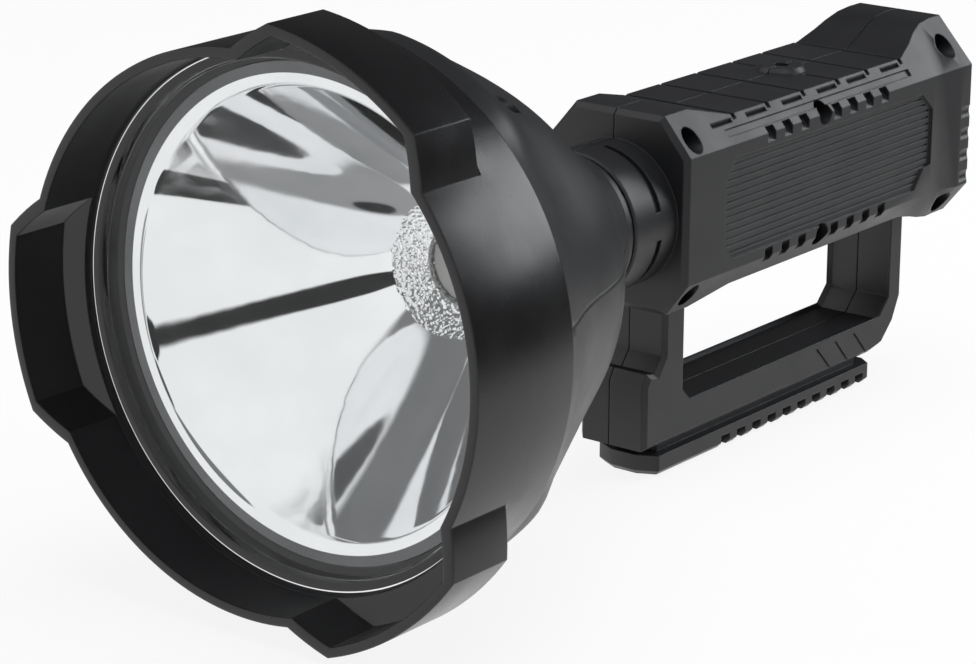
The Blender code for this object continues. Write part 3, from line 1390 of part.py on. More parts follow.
def power_button(rubber):
    """The push button: a flange behind the panel and a proud round cap. It slides along Y."""
    panel_front, panel_rear = rear_panel_span()
    flange_rear = panel_front - GAP
    flange_front = flange_rear - BUTTON_FLANGE_THICK
    top = panel_rear + BUTTON_PROUD
    profile = (
        (flange_front, 0.0), (flange_front, BUTTON_FLANGE_RADIUS), (flange_rear, BUTTON_FLANGE_RADIUS),
        (flange_rear, BUTTON_RADIUS), (top - BUTTON_CROWN, BUTTON_RADIUS),
        (top, BUTTON_RADIUS - BUTTON_CROWN), (top, 0.0),
    )
    seat = body_place(panel_rear, 0.0, BUTTON_HEIGHT)
    shifted = [(along - panel_rear, radius) for along, radius in profile]
    return turned("power_button", shifted, seat, rubber, INNER_STEPS)


def charge_flap(rubber):
    """The flap over the charge socket: a plate whose top edge is rounded about its hinge line."""
    rear = rear_panel_span()[1]
    hinge_up = SOCKET_HEIGHT + FLAP_TOP
    hinge = body_place(rear - FLAP_RECESS + GAP + FLAP_THICK / 2.0, 0.0, hinge_up)
    half = FLAP_THICK / 2.0
    low = SOCKET_HEIGHT - FLAP_TOP - hinge_up
    outline = [(half, low), (half, 0.0)]
    for k in range(1, FLAP_ARC_STEPS):
        turn = math.pi * k / FLAP_ARC_STEPS
        outline.append((half * math.cos(turn), half * math.sin(turn)))
    outline += [(-half, 0.0), (-half, low)]
    bm = bmesh.new()
    across_x(bm, [(-FLAP_HALF, outline), (FLAP_HALF, outline)])
    return finish("charge_flap", bm, hinge, rubber)


def pilot_lights(green, red):
    """Two small light pipes beside the button."""
    front, rear = rear_panel_span()
    for name, hand, material in (("charge", -1.0, red), ("power", 1.0, green)):
        profile = (
            (front, 0.0), (front, PILOT_RADIUS), (rear + GAP, PILOT_RADIUS), (rear + GAP, 0.0),
        )
        place = body_place(0.0, hand * PILOT_X, PILOT_HEIGHT)
        turned("light_pipe_" + name, profile, place, material, SMALL_STEPS)


def rail_outline(half, nose):
    """Plan view of the rail with its bowed front end and its cut rear corners."""
    return [
        (half, RAIL_START + nose), (half * RAIL_NOSE_SHARE, RAIL_START), (-half * RAIL_NOSE_SHARE, RAIL_START),
        (-half, RAIL_START + nose), (-half, RAIL_END - nose), (-half * RAIL_TAIL_SHARE, RAIL_END),
        (half * RAIL_TAIL_SHARE, RAIL_END), (half, RAIL_END - nose),
    ]


def foot_rail(charcoal):
    """The rail under the bar: a narrow neck, a wide foot and ten square slots on each side."""
    floor = -AXIS_HEIGHT
    bm = bmesh.new()
    wide = rail_outline(RAIL_HALF, RAIL_NOSE)
    foot = inset(wide, RAIL_BEVEL)
    upright_z(bm, [(floor, foot), (floor + RAIL_BEVEL, wide), (RAIL_TOP, wide)])
    item = finish("foot_rail", bm, body_place(), charcoal)
    bm = bmesh.new()
    neck = rectangle(
        -RAIL_NECK_HALF, RAIL_NECK_HALF, RAIL_START + RAIL_NECK_INSET, RAIL_END - RAIL_NECK_INSET
    )
    upright_z(bm, [(RAIL_TOP - OVERSHOOT, neck), (BAR_BOTTOM - GAP, neck)])
    boolean(item, finish("cut_rail_neck", bm, body_place(), None), "UNION")
    bm = bmesh.new()
    for hand in (-1.0, 1.0):
        inner = hand * (RAIL_HALF - RAIL_SLOT_DEPTH)
        outer = hand * (RAIL_HALF + OVERSHOOT)
        for k in range(RAIL_SLOTS):
            start = RAIL_SLOT_FIRST + RAIL_SLOT_PITCH * k
            end = start + RAIL_SLOT_PITCH * RAIL_SLOT_SHARE
            slot = rectangle(start, end, floor - OVERSHOOT, floor + RAIL_SLOT_HEIGHT)
            across_x(bm, [(inner, slot), (outer, slot)])
    for _, along in RAIL_SCREWS:
        well = circle(RAIL_WELL_RADIUS, SMALL_STEPS, (0.0, along))
        hole = circle(SCREW_HOLE_RADIUS, SMALL_STEPS, (0.0, along))
        top = floor + RAIL_WELL_TOP
        above = BAR_BOTTOM + OVERSHOOT
        upright_z(bm, [(floor - OVERSHOOT, well), (top, well), (top, hole), (above, hole)])
    boolean(item, finish("cut_rail_slots", bm, body_place(), None))
    return item


def rail_screws(steel):
    """Two screws from below that hold the rail to the bar."""
    seat = -AXIS_HEIGHT + RAIL_WELL_TOP - GAP
    for name, along in RAIL_SCREWS:
        turn = (-math.pi / 2.0, 0.0, 0.0)
        screw("rail_screw_" + name, body_place(along, 0.0, seat), turn, RAIL_SCREW_LENGTH, steel)


def main():
    """Build every piece."""
    clear_scene()
    gloss_black = look("satin_black_plastic", (0.012, 0.012, 0.013), 0.32)
    charcoal = look("matte_charcoal_plastic", (0.035, 0.035, 0.038), 0.48)
    rubber = look("black_rubber", (0.010, 0.010, 0.011), 0.75)
    chrome = look("reflector_chrome", (0.92, 0.92, 0.93), 0.04, 1.0)
    glass = look("clear_lens", (1.0, 1.0, 1.0), 0.02, 0.0, 1.0)
    steel = look("blackened_steel", (0.10, 0.10, 0.10), 0.4, 1.0)
    silver = look("bare_aluminium", (0.78, 0.79, 0.80), 0.35, 1.0)
    green = look("board_green", (0.02, 0.14, 0.05), 0.5)
    white = look("board_white", (0.85, 0.85, 0.84), 0.5)
    phosphor = look("lamp_phosphor", (0.95, 0.78, 0.18), 0.4)
    copper = look("copper_winding", (0.72, 0.34, 0.16), 0.35, 1.0)
    wrap = look("cell_wrap", (0.05, 0.22, 0.48), 0.45)
    cream = look("spacer_plastic", (0.75, 0.74, 0.70), 0.5)
    red = look("red_insulation", (0.55, 0.03, 0.02), 0.5)
    dark = look("black_insulation", (0.012, 0.012, 0.012), 0.5)
    pipe_green = look("green_light_pipe", (0.10, 0.55, 0.18), 0.2)
    pipe_red = look("red_light_pipe", (0.60, 0.05, 0.04), 0.2)
    crown_bezel(gloss_black)
    lens_retainer(gloss_black)
    front_lens(glass)
    lens_seal(rubber)
    reflector(chrome)
    rear_bowl(charcoal)
    head_screws(steel)
    neck_seal(rubber)
    lamp_parts(white, phosphor, silver)
    lamp_leads(red, dark)
    body_shells(charcoal)
    body_screws(steel)
    cells(wrap, cream)
    driver_parts(green, copper)
    control_parts(green, dark, silver)
    rear_panel(charcoal)
    power_button(rubber)
    charge_flap(rubber)
    pilot_lights(pipe_green, pipe_red)
    foot_rail(charcoal)
    rail_screws(steel)


main()
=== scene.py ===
# %% [markdown]
# # A handheld searchlight, dressed for a photograph
#
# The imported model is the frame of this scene: every solid stays where it is.
# We put a camera where the photographer stood, give each solid a material that has
# the detail of the real surface, and replace the round pieces of the head by finer ones.
# All lengths are in metres. The beam looks along -Y and the light stands on Z = 0.

# %% Load the frame
import math

import bmesh
import bpy
from mathutils import Matrix, Vector


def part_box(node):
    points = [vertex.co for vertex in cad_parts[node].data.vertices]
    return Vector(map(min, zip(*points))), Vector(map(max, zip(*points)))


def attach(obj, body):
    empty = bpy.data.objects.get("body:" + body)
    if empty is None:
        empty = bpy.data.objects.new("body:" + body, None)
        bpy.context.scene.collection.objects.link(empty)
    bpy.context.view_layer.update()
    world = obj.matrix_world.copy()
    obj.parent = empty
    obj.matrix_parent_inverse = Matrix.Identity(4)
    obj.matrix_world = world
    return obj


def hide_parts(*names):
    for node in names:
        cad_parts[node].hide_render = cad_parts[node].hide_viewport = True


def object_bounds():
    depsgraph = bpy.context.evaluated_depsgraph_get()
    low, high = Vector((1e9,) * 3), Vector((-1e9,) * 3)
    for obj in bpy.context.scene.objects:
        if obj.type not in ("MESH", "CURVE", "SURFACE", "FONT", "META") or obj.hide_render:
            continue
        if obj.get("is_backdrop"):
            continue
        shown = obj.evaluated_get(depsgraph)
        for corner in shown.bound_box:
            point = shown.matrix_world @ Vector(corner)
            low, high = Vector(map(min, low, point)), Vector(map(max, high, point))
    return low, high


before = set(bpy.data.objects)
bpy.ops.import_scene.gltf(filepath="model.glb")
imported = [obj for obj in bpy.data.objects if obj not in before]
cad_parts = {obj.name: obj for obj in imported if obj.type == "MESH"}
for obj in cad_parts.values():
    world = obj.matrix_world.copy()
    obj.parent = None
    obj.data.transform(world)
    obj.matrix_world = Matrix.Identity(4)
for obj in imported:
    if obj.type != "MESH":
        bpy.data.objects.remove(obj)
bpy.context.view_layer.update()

# %% [markdown]
# ## The camera
#
# The photograph was taken from the front right, a little above the lamp, with a long lens.
# The azimuth, elevation and roll turn the camera. The light leans a little to the left in
# the picture, so the roll is a third of a degree.

# %% Camera
AZIMUTH = math.radians(37.79)
ELEVATION = math.radians(17.25)
ROLL = math.radians(0.29)
FOCAL_LENGTH = 127.41
SENSOR_WIDTH = 36.0
CAMERA_PLACE = (0.5122, -0.7746, 0.3141)
LIGHT_MIDDLE = Vector((0.0, 0.0, 0.07))

back = Vector((
    math.sin(AZIMUTH) * math.cos(ELEVATION),
    -math.cos(AZIMUTH) * math.cos(ELEVATION),
    math.sin(ELEVATION),
))
side = Vector((math.cos(AZIMUTH), math.sin(AZIMUTH), 0.0))
above = back.cross(side)
right = side * math.cos(ROLL) + above * math.sin(ROLL)
up = above * math.cos(ROLL) - side * math.sin(ROLL)

camera = bpy.data.objects.new("camera", bpy.data.cameras.new("camera"))
camera.data.sensor_width = SENSOR_WIDTH
camera.data.lens = FOCAL_LENGTH
camera.data.shift_x = 0.0012
camera.data.shift_y = -0.0009
camera.data.clip_start = 0.05
camera.data.clip_end = 30.0
turn = Matrix((right, up, back)).transposed()
camera.matrix_world = Matrix.Translation(CAMERA_PLACE) @ turn.to_4x4()
bpy.context.scene.collection.objects.link(camera)
bpy.context.scene.camera = camera
bpy.context.scene.view_settings.view_transform = "Standard"
print("camera is", round((camera.location - LIGHT_MIDDLE).length, 3), "m away")

# %% [markdown]
# ## Materials
#
# Moulded plastic is never one colour: it has a fine spark-eroded grain, a slow drift in
# gloss, and rounded edges that catch the light. One function makes them all. The drift is
# a large noise, the grain a small one, and the rounded edge comes from a bevelled normal.

# %% A material and its noises
NOISE_MIDDLE = (0.3, 0.7)


def new_material(name):
    """An empty node material: its tree, its shader and its object coordinates."""
    material = bpy.data.materials.new(name)
    material.use_nodes = True
    tree = material.node_tree
    place = tree.nodes.new("ShaderNodeTexCoord")
    return material, tree, tree.nodes["Principled BSDF"], place.outputs["Object"]


def noise(tree, place, size, detail=2.0):
    """A noise whose features are about this many metres across."""
    node = tree.nodes.new("ShaderNodeTexNoise")
    node.inputs["Scale"].default_value = 1.0 / size
    node.inputs["Detail"].default_value = detail
    tree.links.new(place, node.inputs["Vector"])
    return node.outputs["Fac"]


def spread(tree, value, low, high):
    """Stretch the middle of a noise, or of any share, over a range of values."""
    node = tree.nodes.new("ShaderNodeMapRange")
    node.inputs["From Min"].default_value = NOISE_MIDDLE[0]
    node.inputs["From Max"].default_value = NOISE_MIDDLE[1]
    node.inputs["To Min"].default_value = low
    node.inputs["To Max"].default_value = high
    tree.links.new(value, node.inputs["Value"])
    return node.outputs["Result"]


def two_tone(tree, value, dark, light):
    """Mix two colours by a noise."""
    node = tree.nodes.new("ShaderNodeMix")
    node.data_type = "RGBA"
    node.inputs["A"].default_value = (*dark, 1.0)
    node.inputs["B"].default_value = (*light, 1.0)
    tree.links.new(spread(tree, value, 0.0, 1.0), node.inputs["Factor"])
    return node.outputs["Result"]


print("a noise is stretched between", *NOISE_MIDDLE)

# %% [markdown]
# Grain and rounded edges are too fine to model. A bump bends the surface's normal by
# a height, and a bevelled normal turns round an edge over a small radius, so that it catches
# the light as a moulded edge does. The bump goes on top of the bevel.

# %% Grain and edges
EDGE_SAMPLES = 4


def bump(tree, height, depth, under=None):
    """A bump of this depth in metres, over another normal if there is one."""
    node = tree.nodes.new("ShaderNodeBump")
    node.inputs["Strength"].default_value = 1.0
    node.inputs["Distance"].default_value = depth
    tree.links.new(height, node.inputs["Height"])
    if under:
        tree.links.new(under, node.inputs["Normal"])
    return node.outputs["Normal"]


def rounded(tree, radius):
    """A normal that turns round the edges."""
    node = tree.nodes.new("ShaderNodeBevel")
    node.samples = EDGE_SAMPLES
    node.inputs["Radius"].default_value = radius
    return node.outputs["Normal"]


print("a rounded edge takes", EDGE_SAMPLES, "samples")

# %% [markdown]
# Plastic, rubber and metal differ only in their numbers: two near colours, a gloss, the size
# and depth of the grain, the radius of the edges and how strongly the surface shines. So one
# function serves them all, and metal is the same with its metallic share at 1.

# %% Plastic and metal
COLOUR_DRIFT = 0.03
GLOSS_DRIFT = 0.012
GLOSS_SWING = 0.03
GRAIN_DETAIL = 3.0


def moulded(name, dark, light, rough, grain=0.0004, depth=0.00002, edge=0.0005, shine=0.5):
    """Moulded plastic, rubber or coated metal."""
    material, tree, shader, place = new_material(name)
    drift = noise(tree, place, COLOUR_DRIFT)
    tree.links.new(two_tone(tree, drift, dark, light), shader.inputs["Base Color"])
    slow = noise(tree, place, GLOSS_DRIFT)
    gloss = spread(tree, slow, rough - GLOSS_SWING, rough + GLOSS_SWING)
    tree.links.new(gloss, shader.inputs["Roughness"])
    under = rounded(tree, edge) if edge else None
    fine = noise(tree, place, grain, GRAIN_DETAIL)
    tree.links.new(bump(tree, fine, depth, under), shader.inputs["Normal"])
    shader.inputs["Specular IOR Level"].default_value = shine
    return material


def metal(name, dark, light, rough, grain=0.0003, depth=0.000008):
    """Bare or plated metal with a fine drift in its gloss."""
    material = moulded(name, dark, light, rough, grain, depth, edge=0.0002)
    material.node_tree.nodes["Principled BSDF"].inputs["Metallic"].default_value = 1.0
    return material


print("the gloss drifts by", GLOSS_SWING, "either way")

# %% [markdown]
# The colours are read off the photograph: the housing is a matt charcoal, the crown a
# smoother black, and the dish bright chrome. The hidden pieces inside get plain colours of
# their kind, such as green boards, wrapped cells and a copper coil.

# %% Materials of the pieces
charcoal = moulded("charcoal_plastic", (0.014, 0.0145, 0.0165), (0.020, 0.0205, 0.023), 0.40)
smooth_black = moulded(
    "smooth_black_plastic", (0.006, 0.006, 0.007), (0.010, 0.010, 0.011), 0.27,
    grain=0.0006, depth=0.000006,
)
# A darker, duller black: the real finish of the dish's plain back, and painted shade inside the
# crown, the bowl and its wells.
dull_black_and_painted_shade = moulded(
    "dull_black_plastic_and_painted_shade", (0.004, 0.004, 0.005), (0.007, 0.007, 0.008), 0.5,
    edge=0.0003, shine=0.16,
)
gloss_black = moulded(
    "gloss_black_plastic", (0.006, 0.006, 0.007), (0.012, 0.012, 0.013), 0.09, depth=0.000002,
)
dark_chrome = metal("dark_chrome", (0.10, 0.10, 0.105), (0.15, 0.15, 0.155), 0.14)
soft_black = moulded("soft_black_rubber", (0.008, 0.008, 0.009), (0.014, 0.014, 0.015), 0.62)
dark_steel = metal("dark_steel", (0.022, 0.022, 0.024), (0.04, 0.04, 0.042), 0.42)
bare_metal = metal("bare_aluminium", (0.62, 0.63, 0.65), (0.74, 0.75, 0.77), 0.34)
board_green = moulded("board_green", (0.01, 0.10, 0.03), (0.02, 0.16, 0.06), 0.42)
board_white = moulded("board_white", (0.72, 0.72, 0.70), (0.82, 0.82, 0.80), 0.45)
cell_wrap = moulded("cell_wrap", (0.02, 0.12, 0.32), (0.03, 0.17, 0.42), 0.35)
cream = moulded("cream_plastic", (0.60, 0.58, 0.52), (0.68, 0.66, 0.60), 0.5)
copper = metal("copper_winding", (0.50, 0.22, 0.10), (0.66, 0.32, 0.15), 0.32)
red_sleeve = moulded("red_sleeve", (0.35, 0.01, 0.01), (0.45, 0.02, 0.02), 0.5)
green_glow = moulded("green_light_pipe", (0.04, 0.36, 0.10), (0.07, 0.46, 0.15), 0.2)
red_glow = moulded("red_light_pipe", (0.42, 0.02, 0.02), (0.55, 0.04, 0.03), 0.2)
phosphor = moulded("lamp_phosphor", (0.85, 0.60, 0.10), (0.95, 0.72, 0.18), 0.3)
print("materials", len(bpy.data.materials))

# %% [markdown]
# The dish is vacuum-plated plastic: almost a perfect mirror towards the rim, and covered
# with small round pebbles near the lamp, which spread the beam. A cell pattern makes the
# pebbles and sets in at a depth behind the lens plane. A weak wave bends the mirror a little,
# as on every moulded reflector.

# %% Chrome
CHROME_DRIFT = 0.02
CHROME_GLOSS_DRIFT = 0.01
CHROME_ROUGH = (0.03, 0.06)
MIRROR_FRONT = -0.1811
PEBBLE_DEPTH = 0.0508
PEBBLE_START = MIRROR_FRONT + PEBBLE_DEPTH
PEBBLE_BLEND = 0.0006
PEBBLE_SIZE = 0.0011
PEBBLE_HEIGHT_SHARE = 0.35
PEBBLE_SOFTNESS = 0.6
WAVE_SIZE = 0.006
WAVE_DEPTH = 0.000012


def chrome_plating():
    """Chrome that is smooth towards the rim and pebbled round the lamp."""
    material, tree, shader, place = new_material("chrome_plating")
    drift = noise(tree, place, CHROME_DRIFT)
    tint = two_tone(tree, drift, (0.86, 0.87, 0.88), (0.93, 0.93, 0.94))
    tree.links.new(tint, shader.inputs["Base Color"])
    shader.inputs["Metallic"].default_value = 1.0
    gloss = spread(tree, noise(tree, place, CHROME_GLOSS_DRIFT), *CHROME_ROUGH)
    tree.links.new(gloss, shader.inputs["Roughness"])
    facets = tree.nodes.new("ShaderNodeTexVoronoi")
    facets.inputs["Scale"].default_value = 1.0 / PEBBLE_SIZE
    facets.feature = "SMOOTH_F1"
    facets.inputs["Smoothness"].default_value = PEBBLE_SOFTNESS
    tree.links.new(place, facets.inputs["Vector"])
    axes = tree.nodes.new("ShaderNodeSeparateXYZ")
    tree.links.new(place, axes.inputs["Vector"])
    near = tree.nodes.new("ShaderNodeMapRange")
    near.inputs["From Min"].default_value = PEBBLE_START
    near.inputs["From Max"].default_value = PEBBLE_START + PEBBLE_BLEND
    tree.links.new(axes.outputs["Y"], near.inputs["Value"])
    pebble = tree.nodes.new("ShaderNodeBump")
    pebble.inputs["Distance"].default_value = PEBBLE_SIZE * PEBBLE_HEIGHT_SHARE
    pebble.invert = True
    tree.links.new(facets.outputs["Distance"], pebble.inputs["Height"])
    tree.links.new(near.outputs["Result"], pebble.inputs["Strength"])
    wave = noise(tree, place, WAVE_SIZE, 1.0)
    bent = bump(tree, wave, WAVE_DEPTH, pebble.outputs["Normal"])
    tree.links.new(bent, shader.inputs["Normal"])
    return material


chrome = chrome_plating()
print("pebbles start at", round(PEBBLE_START, 4), "along Y")

# %% [markdown]
# The lens is a clear flat sheet. Light goes straight through it, and only at a low angle
# does it mirror more. The slope of the surface to the view gives that share, and it works the
# same from the front and from the back.

# %% Glass
GLASS_DRIFT = 0.02
GLASS_ROUGH = (0.01, 0.03)
GLASS_MIRROR = (0.012, 0.9)
SLOPE_POWER = 5.0


def clear_glass(name, tint):
    """A clear sheet: light goes straight through, and more is mirrored at a low angle."""
    material, tree, shader, place = new_material(name)
    gloss = spread(tree, noise(tree, place, GLASS_DRIFT), *GLASS_ROUGH)
    tree.links.new(gloss, shader.inputs["Roughness"])
    shader.inputs["Base Color"].default_value = (0.95, 0.95, 0.95, 1.0)
    shader.inputs["Metallic"].default_value = 1.0
    through = tree.nodes.new("ShaderNodeBsdfTransparent")
    through.inputs["Color"].default_value = (*tint, 1.0)
    slope = tree.nodes.new("ShaderNodeLayerWeight")
    steep = tree.nodes.new("ShaderNodeMath")
    steep.operation = "POWER"
    steep.inputs[1].default_value = SLOPE_POWER
    tree.links.new(slope.outputs["Facing"], steep.inputs[0])
    mix = tree.nodes.new("ShaderNodeMixShader")
    tree.links.new(spread(tree, steep.outputs["Value"], *GLASS_MIRROR), mix.inputs["Fac"])
    tree.links.new(through.outputs["BSDF"], mix.inputs[1])
    tree.links.new(shader.outputs["BSDF"], mix.inputs[2])
    tree.links.new(mix.outputs["Shader"], tree.nodes["Material Output"].inputs["Surface"])
    return material


glass = clear_glass("clear_glass", (0.97, 0.975, 0.975))
print("the glass mirrors at least", GLASS_MIRROR[0])

# %% [markdown]
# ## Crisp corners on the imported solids
#
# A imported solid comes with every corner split, so a smooth shade has nothing to run over.
# Welding it alone would smear the shade across its flat faces. A small geometry nodes group
# does both jobs without touching the mesh: it merges the corners, shades the faces smooth,
# and then keeps each edge sharp where two faces meet at a clear angle.

# %% Smoothing group
CREASE_ANGLE = math.radians(30)
WELD_DISTANCE = 0.000002


def crisp_group():
    """A modifier group: weld, shade smooth, keep the real corners sharp."""
    group = bpy.data.node_groups.new("crisp_corners", "GeometryNodeTree")
    for way in ("INPUT", "OUTPUT"):
        group.interface.new_socket("Geometry", in_out=way, socket_type="NodeSocketGeometry")
    new = group.nodes.new
    start, end = new("NodeGroupInput"), new("NodeGroupOutput")
    merge = new("GeometryNodeMergeByDistance")
    merge.inputs["Distance"].default_value = WELD_DISTANCE
    faces = new("GeometryNodeSetShadeSmooth")
    faces.inputs["Shade Smooth"].default_value = True
    edges = new("GeometryNodeSetShadeSmooth")
    edges.domain = "EDGE"
    edges.inputs["Shade Smooth"].default_value = False
    angle = new("GeometryNodeInputMeshEdgeAngle")
    clear = new("FunctionNodeCompare")
    clear.data_type = "FLOAT"
    clear.operation = "GREATER_THAN"
    clear.inputs["B"].default_value = CREASE_ANGLE
    group.links.new(start.outputs["Geometry"], merge.inputs["Geometry"])
    group.links.new(merge.outputs["Geometry"], faces.inputs["Geometry"])
    group.links.new(faces.outputs["Geometry"], edges.inputs["Geometry"])
    group.links.new(angle.outputs["Unsigned Angle"], clear.inputs["A"])
    group.links.new(clear.outputs["Result"], edges.inputs["Selection"])
    group.links.new(edges.outputs["Geometry"], end.inputs["Geometry"])
    return group


crisp = crisp_group()
print("the smoothing group has", len(crisp.nodes), "nodes")

# %% [markdown]
# ## Dressing the solids
#
# Each solid that has the right shape stays, and gets the material of the real piece. The
# group above joins its corners, so the round collar and the screws look round. The pieces
# of the head that are made finer below are dressed too, and then hidden by their stand-ins.

# %% Materials on the solids
DRESS = {
    "crown_bezel": smooth_black, "lens_retainer": smooth_black, "front_lens": glass,
    "lens_seal": soft_black, "reflector": chrome, "rear_bowl": charcoal,
    "neck_seal": soft_black, "led_star_board": board_white, "led_emitter": phosphor,
    "heat_sink": bare_metal, "lead_positive": red_sleeve, "lead_negative": soft_black,
    "body_shell_right": charcoal, "body_shell_left": charcoal, "cell_spacer_front": cream,
    "cell_spacer_rear": cream, "driver_board": board_green, "driver_coil": copper,
    "control_board": board_green, "push_switch": soft_black, "charge_socket": bare_metal,
    "rear_panel": charcoal, "light_pipe_charge": red_glow, "light_pipe_power": green_glow,
    "foot_rail": charcoal, "power_button": soft_black, "charge_flap": soft_black,
}
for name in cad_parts:
    if name.startswith("cell_") and name not in DRESS:
        DRESS[name] = cell_wrap
    if "_screw_" in name:
        DRESS[name] = dark_steel


def dress(node, material):
    """Put a material on a solid, join its split corners and shade it smooth."""
    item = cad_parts[node]
    if not item.material_slots:
        item.data.materials.append(material)
    for slot in item.material_slots:
        slot.link = "OBJECT"
        slot.material = material
    smoothing = item.modifiers.new("crisp_corners", "NODES")
    smoothing.node_group = crisp


for node, material in DRESS.items():
    dress(node, material)
print("dressed", len(DRESS), "solids")

# %% [markdown]
# ## The frame of the head
#
# The head is made of round pieces about one axis, the lamp axis. We read that axis, the
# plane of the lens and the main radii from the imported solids, so each finer piece lands
# exactly where its solid is. Every profile is then a list of points: how far along the axis
# behind the lens plane, and how far out from it.

# %% Measures of the head
lens_low, lens_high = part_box("front_lens")
crown_low, crown_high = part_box("crown_bezel")
dish_low, dish_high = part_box("reflector")

FIT = 0.0003
AXIS_X = (lens_low[0] + lens_high[0]) / 2.0
AXIS_Z = (lens_low[2] + lens_high[2]) / 2.0
LENS_PLANE = lens_high[1] + FIT
LENS_RADIUS = (lens_high[0] - lens_low[0]) / 2.0
LENS_FRONT = lens_low[1] - LENS_PLANE
CROWN_FRONT = crown_low[1] - LENS_PLANE
CROWN_REAR = crown_high[1] - LENS_PLANE
NECK_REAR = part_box("rear_bowl")[1][1] - LENS_PLANE
FLANGE_RADIUS = (dish_high[0] - dish_low[0]) / 2.0
DISH_COLLAR_REAR = dish_high[1] - LENS_PLANE
print("lens plane", round(LENS_PLANE, 4), "axis height", round(AXIS_Z, 4))
print("lens radius and neck end in mm", round(1000 * LENS_RADIUS, 2), round(1000 * NECK_REAR, 1))

# %% [markdown]
# A closed profile carried round the axis gives a solid ring, such as the crown or the seal.
# Where the profile changes with the bearing, as on the lugs, the same loop of code works:
# it asks for the profile again at each bearing, from straight up towards +X.

# %% Carrying a profile round the axis
FINE_STEPS = 180


def spot(along, radius, bearing):
    """A point of the head at a bearing from straight up towards +X, in degrees."""
    turn = math.radians(bearing)
    return (
        AXIS_X + radius * math.sin(turn), LENS_PLANE + along, AXIS_Z + radius * math.cos(turn),
    )


def carry_round(profile_at, bearings):
    """A mesh through the closed profiles at all the bearings."""
    bm = bmesh.new()
    rings = [[bm.verts.new(spot(a, r, b)) for a, r in profile_at(b)] for b in bearings]
    for near, far in zip(rings, rings[1:] + rings[:1]):
        for k, corner in enumerate(near):
            after = (k + 1) % len(near)
            bm.faces.new((corner, near[after], far[after], far[k]))
    bmesh.ops.remove_doubles(bm, verts=bm.verts, dist=WELD_DISTANCE / 2.0)
    bmesh.ops.recalc_face_normals(bm, faces=bm.faces)
    return bm


def even_bearings():
    """Even steps all round."""
    return [360.0 * k / FINE_STEPS for k in range(FINE_STEPS)]


print("a ring has", len(even_bearings()), "bearings")

# %% [markdown]
# A finer piece rides on the same body as its solid, replaces it, and gets the material it is
# given. It often has a second finish, such as a darker black inside, which is painted shade.
# That is picked by where a face lies and which way it looks, so no face has to be numbered.

# %% Standing in for a solid
def stand_in(name, bm, material, slot, *nodes):
    """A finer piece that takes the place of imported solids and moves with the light."""
    mesh = bpy.data.meshes.new(name)
    bm.to_mesh(mesh)
    bm.free()
    mesh.materials.append(material)
    mesh.shade_smooth()
    mesh.set_sharp_from_angle(angle=CREASE_ANGLE)
    item = bpy.data.objects.new(name, mesh)
    bpy.context.scene.collection.objects.link(item)
    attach(item, "light")
    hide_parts(*nodes)
    print(name, "has", len(mesh.polygons), "faces")
    return item


def second_finish(item, material, chosen):
    """Give some faces another finish: chosen gets a face's place, radius and outward tilt."""
    item.data.materials.append(material)
    index = len(item.data.materials) - 1
    count = 0
    for face in item.data.polygons:
        arm = Vector((face.center.x - AXIS_X, 0.0, face.center.z - AXIS_Z))
        if chosen(face.center.y - LENS_PLANE, arm.length, face.normal.dot(arm.normalized())):
            face.material_index = index
            count += 1
    print(item.name, "has", count, "faces of", material.name)


# %% [markdown]
# No moulded edge is perfectly sharp, and a small round edge is what draws the bright lines
# on a black object. A bevel modifier would do it, but on a carried profile it is simpler to
# round the corners of the profile itself. Each arc takes up less than half of a side.

# %% Rounding a profile
LEAST_REACH = 0.00004
MOST_SHARE = 0.45


def round_off(profile, radius, steps=3):
    """Swap each sharp corner of a closed profile for a short arc of points."""
    points = [Vector(p) for p in profile]
    rounded_points = []
    for k, corner in enumerate(points):
        back = points[k - 1] - corner
        ahead = points[(k + 1) % len(points)] - corner
        turn = math.pi - back.angle(ahead)
        reach = max(radius * math.tan(turn / 2.0), LEAST_REACH)
        reach = min(reach, MOST_SHARE * back.length, MOST_SHARE * ahead.length)
        start = corner + back.normalized() * reach
        end = corner + ahead.normalized() * reach
        for step in range(steps + 1):
            share = step / steps
            near = start.lerp(corner, share)
            far = corner.lerp(end, share)
            rounded_points.append(near.lerp(far, share))
    return [tuple(p) for p in rounded_points]


square = ((0.0, 0.0), (1.0, 0.0), (1.0, 1.0), (0.0, 1.0))
print("a square with round corners has", len(round_off(square, 0.1)), "points")

# %% [markdown]
# ## The crown
#
# The crown is the shade in front of the lens. Its wall steps out into three hollow lugs,
# whose flat flanks meet the round wall in clear corners. We describe the wall by one
# function: 0 beside a lug, 1 on its top, and a straight ramp between. The bowl behind the
# crown follows the same lugs, so it will ask the same functions.

# %% Lugs
LUG_BEARINGS = (24.0, 143.5, 263.5)


def apart(bearing, centre):
    """The angle between two bearings."""
    return abs((bearing - centre + 180.0) % 360.0 - 180.0)


def nearest_lug(bearing):
    """The angle to the nearest lug's middle."""
    return min(apart(bearing, centre) for centre in LUG_BEARINGS)


def ramp(value, foot, top):
    """0 up to the foot, 1 from the top on, and a straight rise between."""
    return min(1.0, max(0.0, (value - foot) / (top - foot)))


print("straight up is", nearest_lug(0.0), "degrees from a lug")

# %% [markdown]
# The section of the crown has an outer wall, a shelf behind the lens, the bore, a fine ridge
# in it, and the pocket of a lug. The wall outside and the pocket inside use the same ramp
# with other widths, so the lug's wall stays even.

